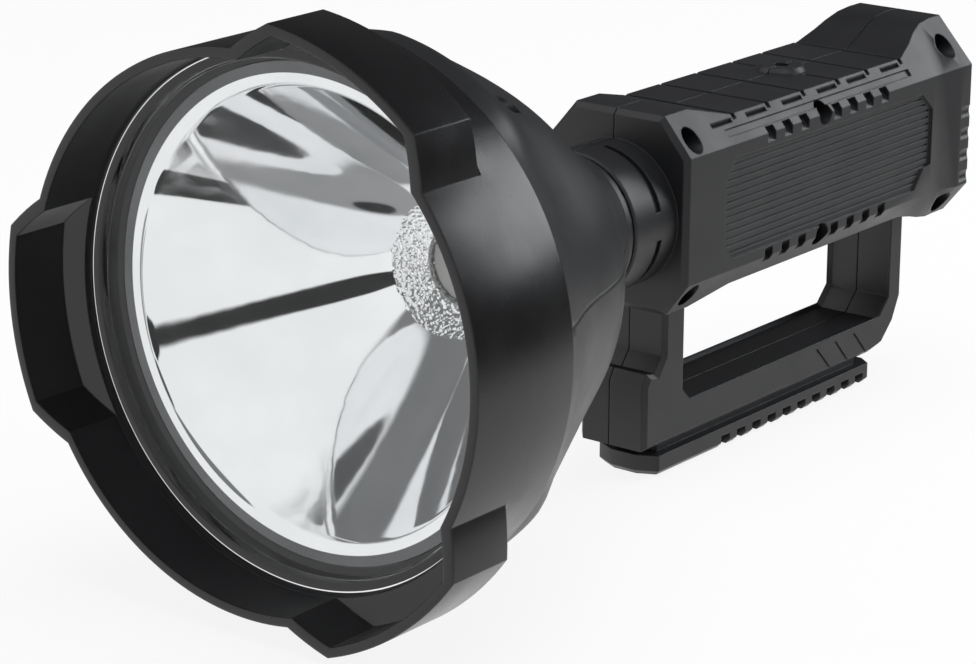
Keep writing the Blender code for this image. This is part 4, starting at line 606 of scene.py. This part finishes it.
# %% Section of the crown
CROWN_RADIUS = 0.0692
CROWN_WALL = 0.0028
CROWN_BORE = CROWN_RADIUS - CROWN_WALL
LUG_RISE = 0.0076
LUG_TOP_HALF = 17.7
LUG_FOOT_HALF = 26.2
LUG_WALL_TOP = 1.4
LUG_WALL_FOOT = 1.7
LUG_REAR = -0.0050
LUG_REAR_SLOPE = 0.0013
LUG_DRAFT = 0.00001
POCKET_REAR = -0.0088
POCKET_STEP = 0.0001
POCKET_CLEAR = 0.0002
RIDGE_FRONT = -0.0080
RIDGE_TOP = -0.0074
RIDGE_REAR = -0.0069
RIDGE_RISE = 0.0006
SEAL_LIP = 0.0018
SHELF_LAP = 0.0023
SHELF_RADIUS = LENS_RADIUS - SEAL_LIP - SHELF_LAP
SHELF_FRONT = 0.0015
SHELF_REAR = 0.0040
EDGE_ROUND = 0.0005


def crown_profile(bearing):
    """The crown's section at one bearing, front edge first, with small round edges."""
    lug = nearest_lug(bearing)
    outer = CROWN_RADIUS + LUG_RISE * ramp(lug, LUG_FOOT_HALF, LUG_TOP_HALF)
    hollow = ramp(lug, LUG_FOOT_HALF - LUG_WALL_FOOT, LUG_TOP_HALF - LUG_WALL_TOP)
    pocket = CROWN_BORE + LUG_RISE * hollow + POCKET_CLEAR
    points = (
        (CROWN_FRONT, outer),
        (LUG_REAR, outer + LUG_DRAFT), (LUG_REAR + LUG_REAR_SLOPE, CROWN_RADIUS),
        (CROWN_REAR, CROWN_RADIUS), (CROWN_REAR, CROWN_BORE),
        (SHELF_REAR, CROWN_BORE), (SHELF_REAR, SHELF_RADIUS),
        (SHELF_FRONT, SHELF_RADIUS), (SHELF_FRONT, CROWN_BORE),
        (RIDGE_REAR, CROWN_BORE), (RIDGE_TOP, CROWN_BORE - RIDGE_RISE), (RIDGE_FRONT, CROWN_BORE),
        (POCKET_REAR, CROWN_BORE + POCKET_STEP), (POCKET_REAR, pocket), (CROWN_FRONT, pocket),
    )
    return round_off(points, EDGE_ROUND)


print("the crown's section has", len(crown_profile(0.0)), "points")

# %% [markdown]
# The corners of the lugs get their own bearings, or an even step would cut them off. The
# inside of the crown gets a darker, duller black than its outside: painted shade, in place
# of the dark that its own walls would mirror. Gloss rays don't meet the crown at all: the
# bowl, the seal and the ring are hidden from them too, or the dish would mirror their black
# insides instead of the studio.

# %% Crown
CORNER_CLEAR = 0.5
INWARD_TILT = -0.3
FRONT_EDGE = 0.001


def crown_bearings():
    """Even steps, and every corner of the lugs inside and out."""
    halves = (
        LUG_TOP_HALF, LUG_FOOT_HALF, LUG_TOP_HALF - LUG_WALL_TOP, LUG_FOOT_HALF - LUG_WALL_FOOT,
    )
    corners = [(c + s * h) % 360.0 for c in LUG_BEARINGS for h in halves for s in (-1.0, 1.0)]
    kept = [b for b in even_bearings() if min(apart(b, c) for c in corners) > CORNER_CLEAR]
    return sorted(kept + corners)


def inside_crown(along, radius, tilt):
    """Faces that look inwards, and the narrow ones that lie within the bore."""
    return tilt < INWARD_TILT or (along > CROWN_FRONT + FRONT_EDGE and radius < CROWN_BORE)


crown = stand_in(
    "crown_fine", carry_round(crown_profile, crown_bearings()), smooth_black,
    "satin_black_plastic", "crown_bezel",
)
crown.visible_glossy = False
# Painted shade: the crown's inward faces get the darker, duller black.
second_finish(crown, dull_black_and_painted_shade, inside_crown)

# %% [markdown]
# ## The rear bowl
#
# Behind the crown the bowl narrows to the neck in a long S. Behind each lug it carries a
# raised lobe, and between two lobes it is drawn in. Two outlines describe it, one along a
# lobe and one along a valley. Each row below gives how far back it lies and how far out the
# two outlines are, as shares of the fall from the crown to the neck ring. A smooth curve
# through the rows is easier to correct by eye than a surface of many points.

# %% Outlines of the bowl
BOWL_SHARES = (
    (0.000, 0.992, 0.985), (0.084, 0.980, 0.913), (0.188, 0.884, 0.819), (0.293, 0.795, 0.740),
    (0.397, 0.704, 0.677), (0.502, 0.600, 0.606), (0.606, 0.477, 0.509), (0.711, 0.337, 0.379),
    (0.815, 0.221, 0.245), (0.914, 0.118, 0.138), (1.000, 0.040, 0.040),
)


def smooth_share(share, column):
    """A smooth curve through one column of the bowl's shares."""
    rows = BOWL_SHARES
    k = min(max(sum(1 for row in rows if row[0] <= share) - 1, 0), len(rows) - 2)
    low, high = rows[k], rows[k + 1]
    before, after = rows[max(k - 1, 0)], rows[min(k + 2, len(rows) - 1)]
    width = high[0] - low[0]
    t = (share - low[0]) / width
    lean_low = (high[column] - before[column]) / (high[0] - before[0]) * width
    lean_high = (after[column] - low[column]) / (after[0] - low[0]) * width
    return (
        low[column] * (2 * t ** 3 - 3 * t ** 2 + 1) + lean_low * (t ** 3 - 2 * t ** 2 + t)
        + high[column] * (3 * t ** 2 - 2 * t ** 3) + lean_high * (t ** 3 - t ** 2)
    )


lobe, valley = smooth_share(0.5, 1), smooth_share(0.5, 2)
print("half way back the shares are", round(lobe, 3), "on a lobe,", round(valley, 3), "in a valley")

# %% [markdown]
# A soft step blends the two outlines by bearing. A fine crease runs down the middle of each
# valley, where two halves of the mould met. It is a notch in the skin, because a bump in the
# material would be lost in the mesh that is kept.

# %% Skin of the bowl
NECK_RING = 0.0199
LOBE_HALF = 14.0
LOBE_EDGE = 16.0
CREASE_HALF = 0.35
CREASE_DEPTH = 0.0003
CREASE_BEARINGS = (83.7, 203.5, 323.7)
CREASE_SHARES = (0.02, 0.98)


def bowl_radius(share, bearing):
    """How far out the bowl's skin lies."""
    rise = ramp(nearest_lug(bearing), LOBE_HALF + LOBE_EDGE, LOBE_HALF)
    lobe = rise * rise * (3.0 - 2.0 * rise)
    blend = smooth_share(share, 1) * lobe + smooth_share(share, 2) * (1.0 - lobe)
    skin = NECK_RING + (CROWN_RADIUS - NECK_RING) * blend
    near = min(apart(bearing, c) for c in CREASE_BEARINGS) < CREASE_HALF
    creased = near and CREASE_SHARES[0] < share < CREASE_SHARES[1]
    return skin - (CREASE_DEPTH if creased else 0.0)


print("the bowl begins", round(1000 * bowl_radius(0.0, LUG_BEARINGS[0]), 1), "mm from the axis")

# %% [markdown]
# The section starts with a spigot that plugs into the crown. The skin follows, then the neck
# ring, the neck with its clamp ring, and the way back on the inside. The bearings are even,
# with four close ones at each crease so that its flanks stay narrow.

# %% Bowl
NECK_RADIUS = 0.0160
NECK_BORE = 0.0125
NECK_RING_REAR = 0.1026
NECK_RING_EDGE = 0.0004
CLAMP_FRONT = 0.1140
CLAMP_REAR = 0.1170
CLAMP_RADIUS = 0.0180
SPIGOT_FRONT = SHELF_REAR + FIT
SPIGOT_RADIUS = CROWN_BORE - FIT
SPIGOT_WALL = 0.0022
BOWL_START = CROWN_REAR + FIT
BOWL_END = 0.0980
BOWL_WALL = 0.0026
SKIN_STEPS = 36
CREASE_OUTSIDE = 0.15
CREASE_INSIDE = 0.1
CREASE_CLEAR = 1.0


def bowl_profile(bearing):
    """The bowl's section at one bearing: spigot, skin, neck ring, neck, and back inside."""
    shares = [k / SKIN_STEPS for k in range(SKIN_STEPS + 1)]
    length = BOWL_END - BOWL_START
    skin = [(BOWL_START + length * s, bowl_radius(s, bearing)) for s in shares]
    inside = [(along, radius - BOWL_WALL) for along, radius in skin[4:-3:4]]
    spigot_bore = SPIGOT_RADIUS - SPIGOT_WALL
    profile = [(SPIGOT_FRONT, SPIGOT_RADIUS), (BOWL_START, SPIGOT_RADIUS)] + skin
    profile += [(BOWL_END, NECK_RING), (NECK_RING_REAR - NECK_RING_EDGE, NECK_RING)]
    profile += [(NECK_RING_REAR, NECK_RING - NECK_RING_EDGE), (NECK_RING_REAR, NECK_RADIUS)]
    profile += [(CLAMP_FRONT, NECK_RADIUS), (CLAMP_FRONT, CLAMP_RADIUS)]
    profile += [(CLAMP_REAR, CLAMP_RADIUS), (CLAMP_REAR, NECK_RADIUS)]
    profile += [(NECK_REAR, NECK_RADIUS), (NECK_REAR, NECK_BORE), (BOWL_END, NECK_BORE)]
    profile += inside[::-1]
    return profile + [(BOWL_START, spigot_bore), (SPIGOT_FRONT, spigot_bore)]


def bowl_bearings():
    """Even steps, and close ones at each crease."""
    outer, inner = CREASE_HALF + CREASE_OUTSIDE, CREASE_HALF - CREASE_INSIDE
    close = [c + shift for c in CREASE_BEARINGS for shift in (-outer, -inner, inner, outer)]
    even = even_bearings()
    kept = [b for b in even if min(apart(b, c) for c in CREASE_BEARINGS) > CREASE_CLEAR]
    return sorted(kept + close)


bowl = stand_in(
    "bowl_fine", carry_round(bowl_profile, bowl_bearings()), charcoal,
    "charcoal_plastic", "rear_bowl",
)

# %% [markdown]
# Three long wells are sunk into the lobes for the screws that hold the bowl to the crown.
# They open through the slope of a lobe as short dark slots. Rods as wide as a well stand in
# for the drill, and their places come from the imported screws.

# %% Rods for the wells
WELL_RADIUS = 0.0031
WELL_END = 0.0480
WELL_LAP = 0.0022
ROD_STEPS = 32


def rod_between(bm, low, high, centre, radius):
    """A closed rod along Y."""
    turns = [math.tau * k / ROD_STEPS for k in range(ROD_STEPS)]
    rim = [(centre[0] + radius * math.cos(t), centre[1] + radius * math.sin(t)) for t in turns]
    front, rear = [[bm.verts.new((x, y, z)) for x, z in rim] for y in (low, high)]
    for k in range(ROD_STEPS):
        after = (k + 1) % ROD_STEPS
        bm.faces.new((front[k], front[after], rear[after], rear[k]))
    bm.faces.new(front)
    bm.faces.new(rear)


bm = bmesh.new()
well_axes = []
for name in ("bowl_screw_upper", "bowl_screw_lower", "bowl_screw_far"):
    low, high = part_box(name)
    centre = ((low[0] + high[0]) / 2.0, (low[2] + high[2]) / 2.0)
    well_axes.append(centre)
    rod_between(bm, high[1] - WELL_LAP, LENS_PLANE + WELL_END, centre, WELL_RADIUS)
bmesh.ops.recalc_face_normals(bm, faces=bm.faces)
mesh = bpy.data.meshes.new("well_rods")
bm.to_mesh(mesh)
bm.free()
rods = bpy.data.objects.new("well_rods", mesh)
print("rods for", len(well_axes), "wells")

# %% [markdown]
# A Boolean cuts the wells. Its result is taken over as the bowl's mesh, and the rods go. The
# wells and the inside of the bowl get the darker, duller black: painted shade for deep
# plastic that sees no light.

# %% Screw wells
def inside_bowl(_along, _radius, tilt):
    """Faces that look inwards."""
    return tilt < 0.0


drill = bowl.modifiers.new("wells", "BOOLEAN")
drill.solver = "EXACT"
drill.object = rods
bpy.context.scene.collection.objects.link(rods)
bpy.context.view_layer.update()
cut = bpy.data.meshes.new_from_object(bowl.evaluated_get(bpy.context.evaluated_depsgraph_get()))
bowl.modifiers.clear()
bowl.data = cut
bowl.visible_glossy = False
bowl.data.set_sharp_from_angle(angle=CREASE_ANGLE)
bpy.data.objects.remove(rods)
# Painted shade: the bowl's inward faces and its wells get the darker, duller black.
second_finish(bowl, dull_black_and_painted_shade, inside_bowl)
for face in bowl.data.polygons:
    middle = (face.center.x, face.center.z)
    if min(math.dist(middle, axis) for axis in well_axes) < WELL_RADIUS:
        face.material_index = 1
print("the bowl has", len(cut.polygons), "faces with its wells")

# %% [markdown]
# ## The dish
#
# The mirror is a parabola in front that bends towards a cone at the back. A formula gives
# its radius at each depth: it starts at the rim and ends at the lamp hole, and the share of
# the cone says how much the curve straightens on the way.

# %% Curve of the mirror
LAMP_HOLE = 0.0109
FLANGE_WIDTH = 0.0051
DISH_RADIUS = FLANGE_RADIUS - FLANGE_WIDTH
DISH_COLLAR_LENGTH = 0.0033
DISH_DEPTH = DISH_COLLAR_REAR - DISH_COLLAR_LENGTH
CONE_SHARE = 0.4


def dish_radius(depth):
    """The dish's radius at a depth behind the lens plane."""
    fall = (DISH_RADIUS ** 2 - LAMP_HOLE ** 2) / DISH_DEPTH + CONE_SHARE * DISH_DEPTH
    return math.sqrt(DISH_RADIUS ** 2 - fall * depth + CONE_SHARE * depth ** 2)


middle = dish_radius(DISH_DEPTH / 2.0)
print("half way down the mirror lies", round(1000 * middle, 1), "mm from the axis")

# %% [markdown]
# The dish has a flat flange behind the lens and a collar round the lamp. It needs many rings,
# because a mirror shows every facet. The plating thins out on the outer flange, which is
# darker, and the back is bare black plastic.

# %% Dish
FLANGE_THICK = 0.0012
FLANGE_SHOULDER = 0.0016
BRIGHT_WIDTH = 0.0024
BRIGHT_RADIUS = DISH_RADIUS + BRIGHT_WIDTH
DISH_COLLAR_WALL = 0.0026
DISH_COLLAR_RADIUS = LAMP_HOLE + DISH_COLLAR_WALL
DISH_WALL = 0.0014
DISH_STEPS = 60
DISH_EDGE_WIDTH = 0.0004
DISH_EDGE_DEPTH = 0.0002
BACK_TILT = 0.1
BACK_MARGIN = 0.002


def dish_profile(_bearing):
    """Lamp hole, mirror, flange, and the plain back."""
    depths = [DISH_DEPTH * k / DISH_STEPS for k in range(DISH_STEPS + 1)]
    mirror = [(d, dish_radius(d)) for d in depths]
    behind = [(d, r + DISH_WALL) for d, r in mirror[3:-3:6]]
    profile = [(0.0, FLANGE_RADIUS), (0.0, BRIGHT_RADIUS), (0.0, DISH_RADIUS + DISH_EDGE_WIDTH)]
    profile += [(DISH_EDGE_DEPTH, DISH_RADIUS)] + mirror[1:]
    profile += [(DISH_COLLAR_REAR, LAMP_HOLE), (DISH_COLLAR_REAR, DISH_COLLAR_RADIUS)]
    profile += [(DISH_DEPTH, DISH_COLLAR_RADIUS)] + behind[::-1]
    return profile + [(FLANGE_THICK, DISH_RADIUS + FLANGE_SHOULDER), (FLANGE_THICK, FLANGE_RADIUS)]


def outer_flange(along, radius, _tilt):
    """The front face of the flange, outside its bright band."""
    return radius > BRIGHT_RADIUS and along < DISH_EDGE_DEPTH


def back_of_dish(_along, radius, tilt):
    """Faces behind the mirror, which look outwards."""
    return tilt > BACK_TILT and radius < DISH_RADIUS + BACK_MARGIN


dish = stand_in(
    "dish_fine", carry_round(dish_profile, even_bearings()), chrome,
    "reflector_plating", "reflector",
)
second_finish(dish, dark_chrome, outer_flange)
second_finish(dish, dull_black_and_painted_shade, back_of_dish)

# %% [markdown]
# ## Lens, seal and retaining ring
#
# The lens is a flat disc with a rounded rim. A profile that ends on the axis would leave
# a knot of thin faces in the middle, so only the rim is carried round, and one round face
# closes each side.

# %% Lens
LENS_BACK = -FIT
RIM_ROUND = 0.0006


def lens_mesh():
    """A disc with rounded edges."""
    rim = [(LENS_BACK, LENS_RADIUS), (LENS_FRONT, LENS_RADIUS)]
    outline = [(LENS_BACK, 0.0)] + rim + [(LENS_FRONT, 0.0)]
    arc = [p for p in round_off(outline, RIM_ROUND, 5) if p[1] > LENS_RADIUS / 2.0]
    bm = bmesh.new()
    rings = [[bm.verts.new(spot(a, r, b)) for b in even_bearings()] for a, r in arc]
    for near, far in zip(rings, rings[1:]):
        for k, corner in enumerate(near):
            after = (k + 1) % len(near)
            bm.faces.new((corner, near[after], far[after], far[k]))
    bm.faces.new(rings[0])
    bm.faces.new(rings[-1])
    bmesh.ops.recalc_face_normals(bm, faces=bm.faces)
    return bm


stand_in("lens_fine", lens_mesh(), glass, "clear_lens", "front_lens")

# %% [markdown]
# A soft seal wraps the edge of the lens, and a thin ring snaps in front. In the photograph
# the rim shows as a bright line, a dark line and a white band, which is the dish's flange
# seen through the glass. The bright line is the ring's outer edge catching the light: its
# outermost faces get chrome, a painted highlight on the black ring.

# %% Seal and retaining ring
SEAL_OUTER = CROWN_BORE - FIT
SEAL_REAR = 0.0012
SEAL_ROUND = 0.0002
RETAINER_LENGTH = 0.0024
RETAINER_LAP = 0.0007
RETAINER_ROUND = 0.0004
BRIGHT_LINE = 0.0005


def seal_profile(_bearing):
    """An L round the lens and over its back edge."""
    inner = LENS_RADIUS + FIT
    lip = LENS_RADIUS - SEAL_LIP
    points = (
        (LENS_FRONT, inner), (LENS_FRONT, SEAL_OUTER), (SEAL_REAR, SEAL_OUTER),
        (SEAL_REAR, lip), (0.0, lip), (0.0, inner),
    )
    return round_off(points, SEAL_ROUND)


def retainer_profile(_bearing):
    """A thin ring with a lip over the lens's edge."""
    rear = LENS_FRONT - FIT
    front = rear - RETAINER_LENGTH
    inner = LENS_RADIUS - RETAINER_LAP
    points = ((front, LENS_RADIUS), (front, SEAL_OUTER), (rear, SEAL_OUTER), (rear, inner))
    return round_off(points, RETAINER_ROUND)


def painted_highlight_faces(along, radius, _tilt):
    """The outermost faces of the ring, which get chrome as a painted highlight."""
    return radius > SEAL_OUTER - BRIGHT_LINE and along < LENS_FRONT


seal = stand_in(
    "seal_fine", carry_round(seal_profile, even_bearings()), soft_black,
    "black_rubber", "lens_seal",
)
retainer = stand_in(
    "retainer_fine", carry_round(retainer_profile, even_bearings()), gloss_black,
    "satin_black_plastic", "lens_retainer",
)
seal.visible_glossy = False
retainer.visible_glossy = False
# Painted highlight: the ring's outermost faces get chrome.
second_finish(retainer, chrome, painted_highlight_faces)

# %% [markdown]
# ## The floor and the studio
#
# The floor and the world look different to the camera, to gloss and to matt surfaces. Both
# are mixed from a few values by a share, such as whether a ray comes from the camera. Two
# small helpers make such a mix, and a soft step for its share.

# %% Mixing by a share
def mixed(tree, share, first, second):
    """Blend two values or sockets by a share."""
    node = tree.nodes.new("ShaderNodeMix")
    tree.links.new(share, node.inputs["Factor"])
    for name, value in (("A", first), ("B", second)):
        if isinstance(value, (int, float)):
            node.inputs[name].default_value = value
        else:
            tree.links.new(value, node.inputs[name])
    return node.outputs["Result"]


def stepped(tree, value, start, stop):
    """A soft step from 0 to 1 between two values, which may run either way."""
    node = tree.nodes.new("ShaderNodeMapRange")
    node.interpolation_type = "SMOOTHSTEP"
    low, high = min(start, stop), max(start, stop)
    node.inputs["From Min"].default_value = low
    node.inputs["From Max"].default_value = high
    node.inputs["To Min"].default_value = 0.0 if start < stop else 1.0
    node.inputs["To Max"].default_value = 1.0 if start < stop else 0.0
    tree.links.new(value, node.inputs["Value"])
    return node.outputs["Result"]


# %% [markdown]
# The camera sees the floor as white paper with a soft shadow: for camera rays most of its
# white is glow, and the small rest takes the shadow. To everything else it is a mid-grey
# sheet, so that the undersides of a black object stay black. Gloss does not see it: its mirror
# image is part of the sheet that the world shows.

# %% Floor
FLOOR_GLOW = 0.88
FLOOR_GREY = 0.30
FLOOR_ROUGH = 0.9
FLOOR_DRIFT = 0.5
FLOOR_WIDTH = 8.0
FLOOR_DROP = 0.0004


def stage_sheet(name, width, height, material):
    """A square sheet that lies level at a height."""
    mesh = bpy.data.meshes.new(name)
    bm = bmesh.new()
    bmesh.ops.create_grid(bm, x_segments=1, y_segments=1, size=0.5)
    bm.to_mesh(mesh)
    bm.free()
    mesh.materials.append(material)
    item = bpy.data.objects.new(name, mesh)
    item.scale = (width, width, 1.0)
    item.location = (0.0, 0.0, height)
    bpy.context.scene.collection.objects.link(item)
    item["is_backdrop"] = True
    return item


def floor_material():
    """White to the camera with a soft shadow, and grey to the rest."""
    material, tree, shader, place = new_material("pale_floor")
    drift = noise(tree, place, FLOOR_DRIFT)
    tint = two_tone(tree, drift, (0.93, 0.93, 0.93), (0.95, 0.95, 0.95))
    path = tree.nodes.new("ShaderNodeLightPath")
    paper = tree.nodes.new("ShaderNodeMix")
    paper.data_type = "RGBA"
    paper.inputs["A"].default_value = (FLOOR_GREY, FLOOR_GREY, FLOOR_GREY, 1.0)
    tree.links.new(path.outputs["Is Camera Ray"], paper.inputs["Factor"])
    tree.links.new(tint, paper.inputs["B"])
    tree.links.new(paper.outputs["Result"], shader.inputs["Base Color"])
    shader.inputs["Roughness"].default_value = FLOOR_ROUGH
    shader.inputs["Specular IOR Level"].default_value = 0.0
    glow = tree.nodes.new("ShaderNodeEmission")
    share = mixed(tree, path.outputs["Is Camera Ray"], 0.0, FLOOR_GLOW)
    mix = tree.nodes.new("ShaderNodeMixShader")
    tree.links.new(share, mix.inputs["Fac"])
    tree.links.new(shader.outputs["BSDF"], mix.inputs[1])
    tree.links.new(glow.outputs["Emission"], mix.inputs[2])
    tree.links.new(mix.outputs["Shader"], tree.nodes["Material Output"].inputs["Surface"])
    return material


floor = stage_sheet("floor", FLOOR_WIDTH, -FLOOR_DROP, floor_material())
floor.visible_glossy = False
print("the floor glows at", FLOOR_GLOW, "for the camera")

# %% [markdown]
# ## What the mirror sees
#
# A chrome dish has no look of its own: it shows the studio. In front of the light stood
# a bright sheet with a few darker openings, and behind it the room was dark above the table
# and bright on it. We paint that on the world with soft spots, and only glossy rays and those
# that pass through glass see it. The camera sees plain white, and matt surfaces get an even,
# weak fill.
#
# Each spot is an ellipse, placed by the X and Z of the direction in which it lies. It has
# a centre, its two half widths and a level, where the bright sheet is 1. The tall grey one
# has a bright strip and a dark one beside it, like the edge of a second sheet.

# %% World
FILL = 0.34
ROOM_BEHIND = 0.07
TABLE_BEHIND = 1.0
TABLE_EDGE = (-0.14, -0.32)
SHEET_EDGE = (-0.02, 0.10)
SOFT_RIM = (1.08, 0.92)
OPENINGS = (
    ((0.08, 0.56), (0.33, 0.33), 0.20),
    ((0.50, 0.31), (0.14, 0.15), 0.10),
    ((0.79, 0.13), (0.125, 0.155), 0.004),
    ((0.49, -0.24), (0.14, 0.40), 0.34),
    ((0.42, -0.08), (0.045, 0.09), 0.012),
    ((0.63, -0.16), (0.018, 0.22), 0.95),
    ((0.68, -0.28), (0.022, 0.30), 0.05),
    ((0.50, -0.83), (0.11, 0.08), 0.02),
)


def opening(tree, direction, under, centre, half, level):
    """Paint one soft-edged spot of a level over what lies under it."""
    shift = tree.nodes.new("ShaderNodeVectorMath")
    shift.operation = "SUBTRACT"
    shift.inputs[1].default_value = (centre[0], 0.0, centre[1])
    tree.links.new(direction, shift.inputs[0])
    scale = tree.nodes.new("ShaderNodeVectorMath")
    scale.operation = "MULTIPLY"
    scale.inputs[1].default_value = (1.0 / half[0], 0.0, 1.0 / half[1])
    tree.links.new(shift.outputs["Vector"], scale.inputs[0])
    reach = tree.nodes.new("ShaderNodeVectorMath")
    reach.operation = "LENGTH"
    tree.links.new(scale.outputs["Vector"], reach.inputs[0])
    return mixed(tree, stepped(tree, reach.outputs["Value"], *SOFT_RIM), under, level)


world = bpy.data.worlds.new("studio")
bpy.context.scene.world = world
world.use_nodes = True
tree = world.node_tree
ground = tree.nodes["Background"]
ground.inputs["Color"].default_value = (1.0, 1.0, 1.0, 1.0)
direction = tree.nodes.new("ShaderNodeTexCoord").outputs["Generated"]
axes = tree.nodes.new("ShaderNodeSeparateXYZ")
tree.links.new(direction, axes.inputs["Vector"])
sheet = 1.0
for centre, half, level in OPENINGS:
    sheet = opening(tree, direction, sheet, centre, half, level)
behind = mixed(tree, stepped(tree, axes.outputs["Z"], *TABLE_EDGE), ROOM_BEHIND, TABLE_BEHIND)
sheet = mixed(tree, stepped(tree, axes.outputs["Y"], *SHEET_EDGE), sheet, behind)
path = tree.nodes.new("ShaderNodeLightPath")
light = mixed(tree, path.outputs["Is Glossy Ray"], FILL, sheet)
light = mixed(tree, path.outputs["Is Transmission Ray"], light, sheet)
light = mixed(tree, path.outputs["Is Camera Ray"], light, 1.0)
tree.links.new(light, ground.inputs["Strength"])
print("the world has", len(OPENINGS), "painted spots")

# %% [markdown]
# ## The lamps
#
# The light grey sheen on the chamfers and on the crown is one large soft box, behind the
# light on the right and above it, mirrored by the dull plastic. A second box overhead draws
# the shadow on the floor. Gloss does not see that one, or it would whiten the top faces.

# %% Lamps
def soft_box(name, centre, aim, width, height, power):
    """A soft box that faces a point and stays out of the picture."""
    data = bpy.data.lights.new(name, "AREA")
    data.shape = "RECTANGLE"
    data.size = width
    data.size_y = height
    data.energy = power
    item = bpy.data.objects.new(name, data)
    item.location = centre
    item.rotation_mode = "QUATERNION"
    item.rotation_quaternion = (Vector(centre) - Vector(aim)).to_track_quat("Z", "Y")
    item.visible_camera = False
    bpy.context.scene.collection.objects.link(item)
    return item


right_box = soft_box(
    "right_box", centre=(0.62, 1.0, 0.60), aim=(0.0, 0.0, 0.08), width=0.85, height=0.62, power=7.0,
)
right_box.data.color = (0.94, 0.97, 1.0)
top_box = soft_box(
    "top_box", centre=(0.10, -0.05, 1.2), aim=(0.0, 0.0, 0.05), width=1.0, height=1.0, power=9.0,
)
top_box.visible_glossy = False

# %% Sizes and finish
low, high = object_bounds()
print("visual box in mm", [round(1000 * (b - a), 1) for a, b in zip(low, high)])
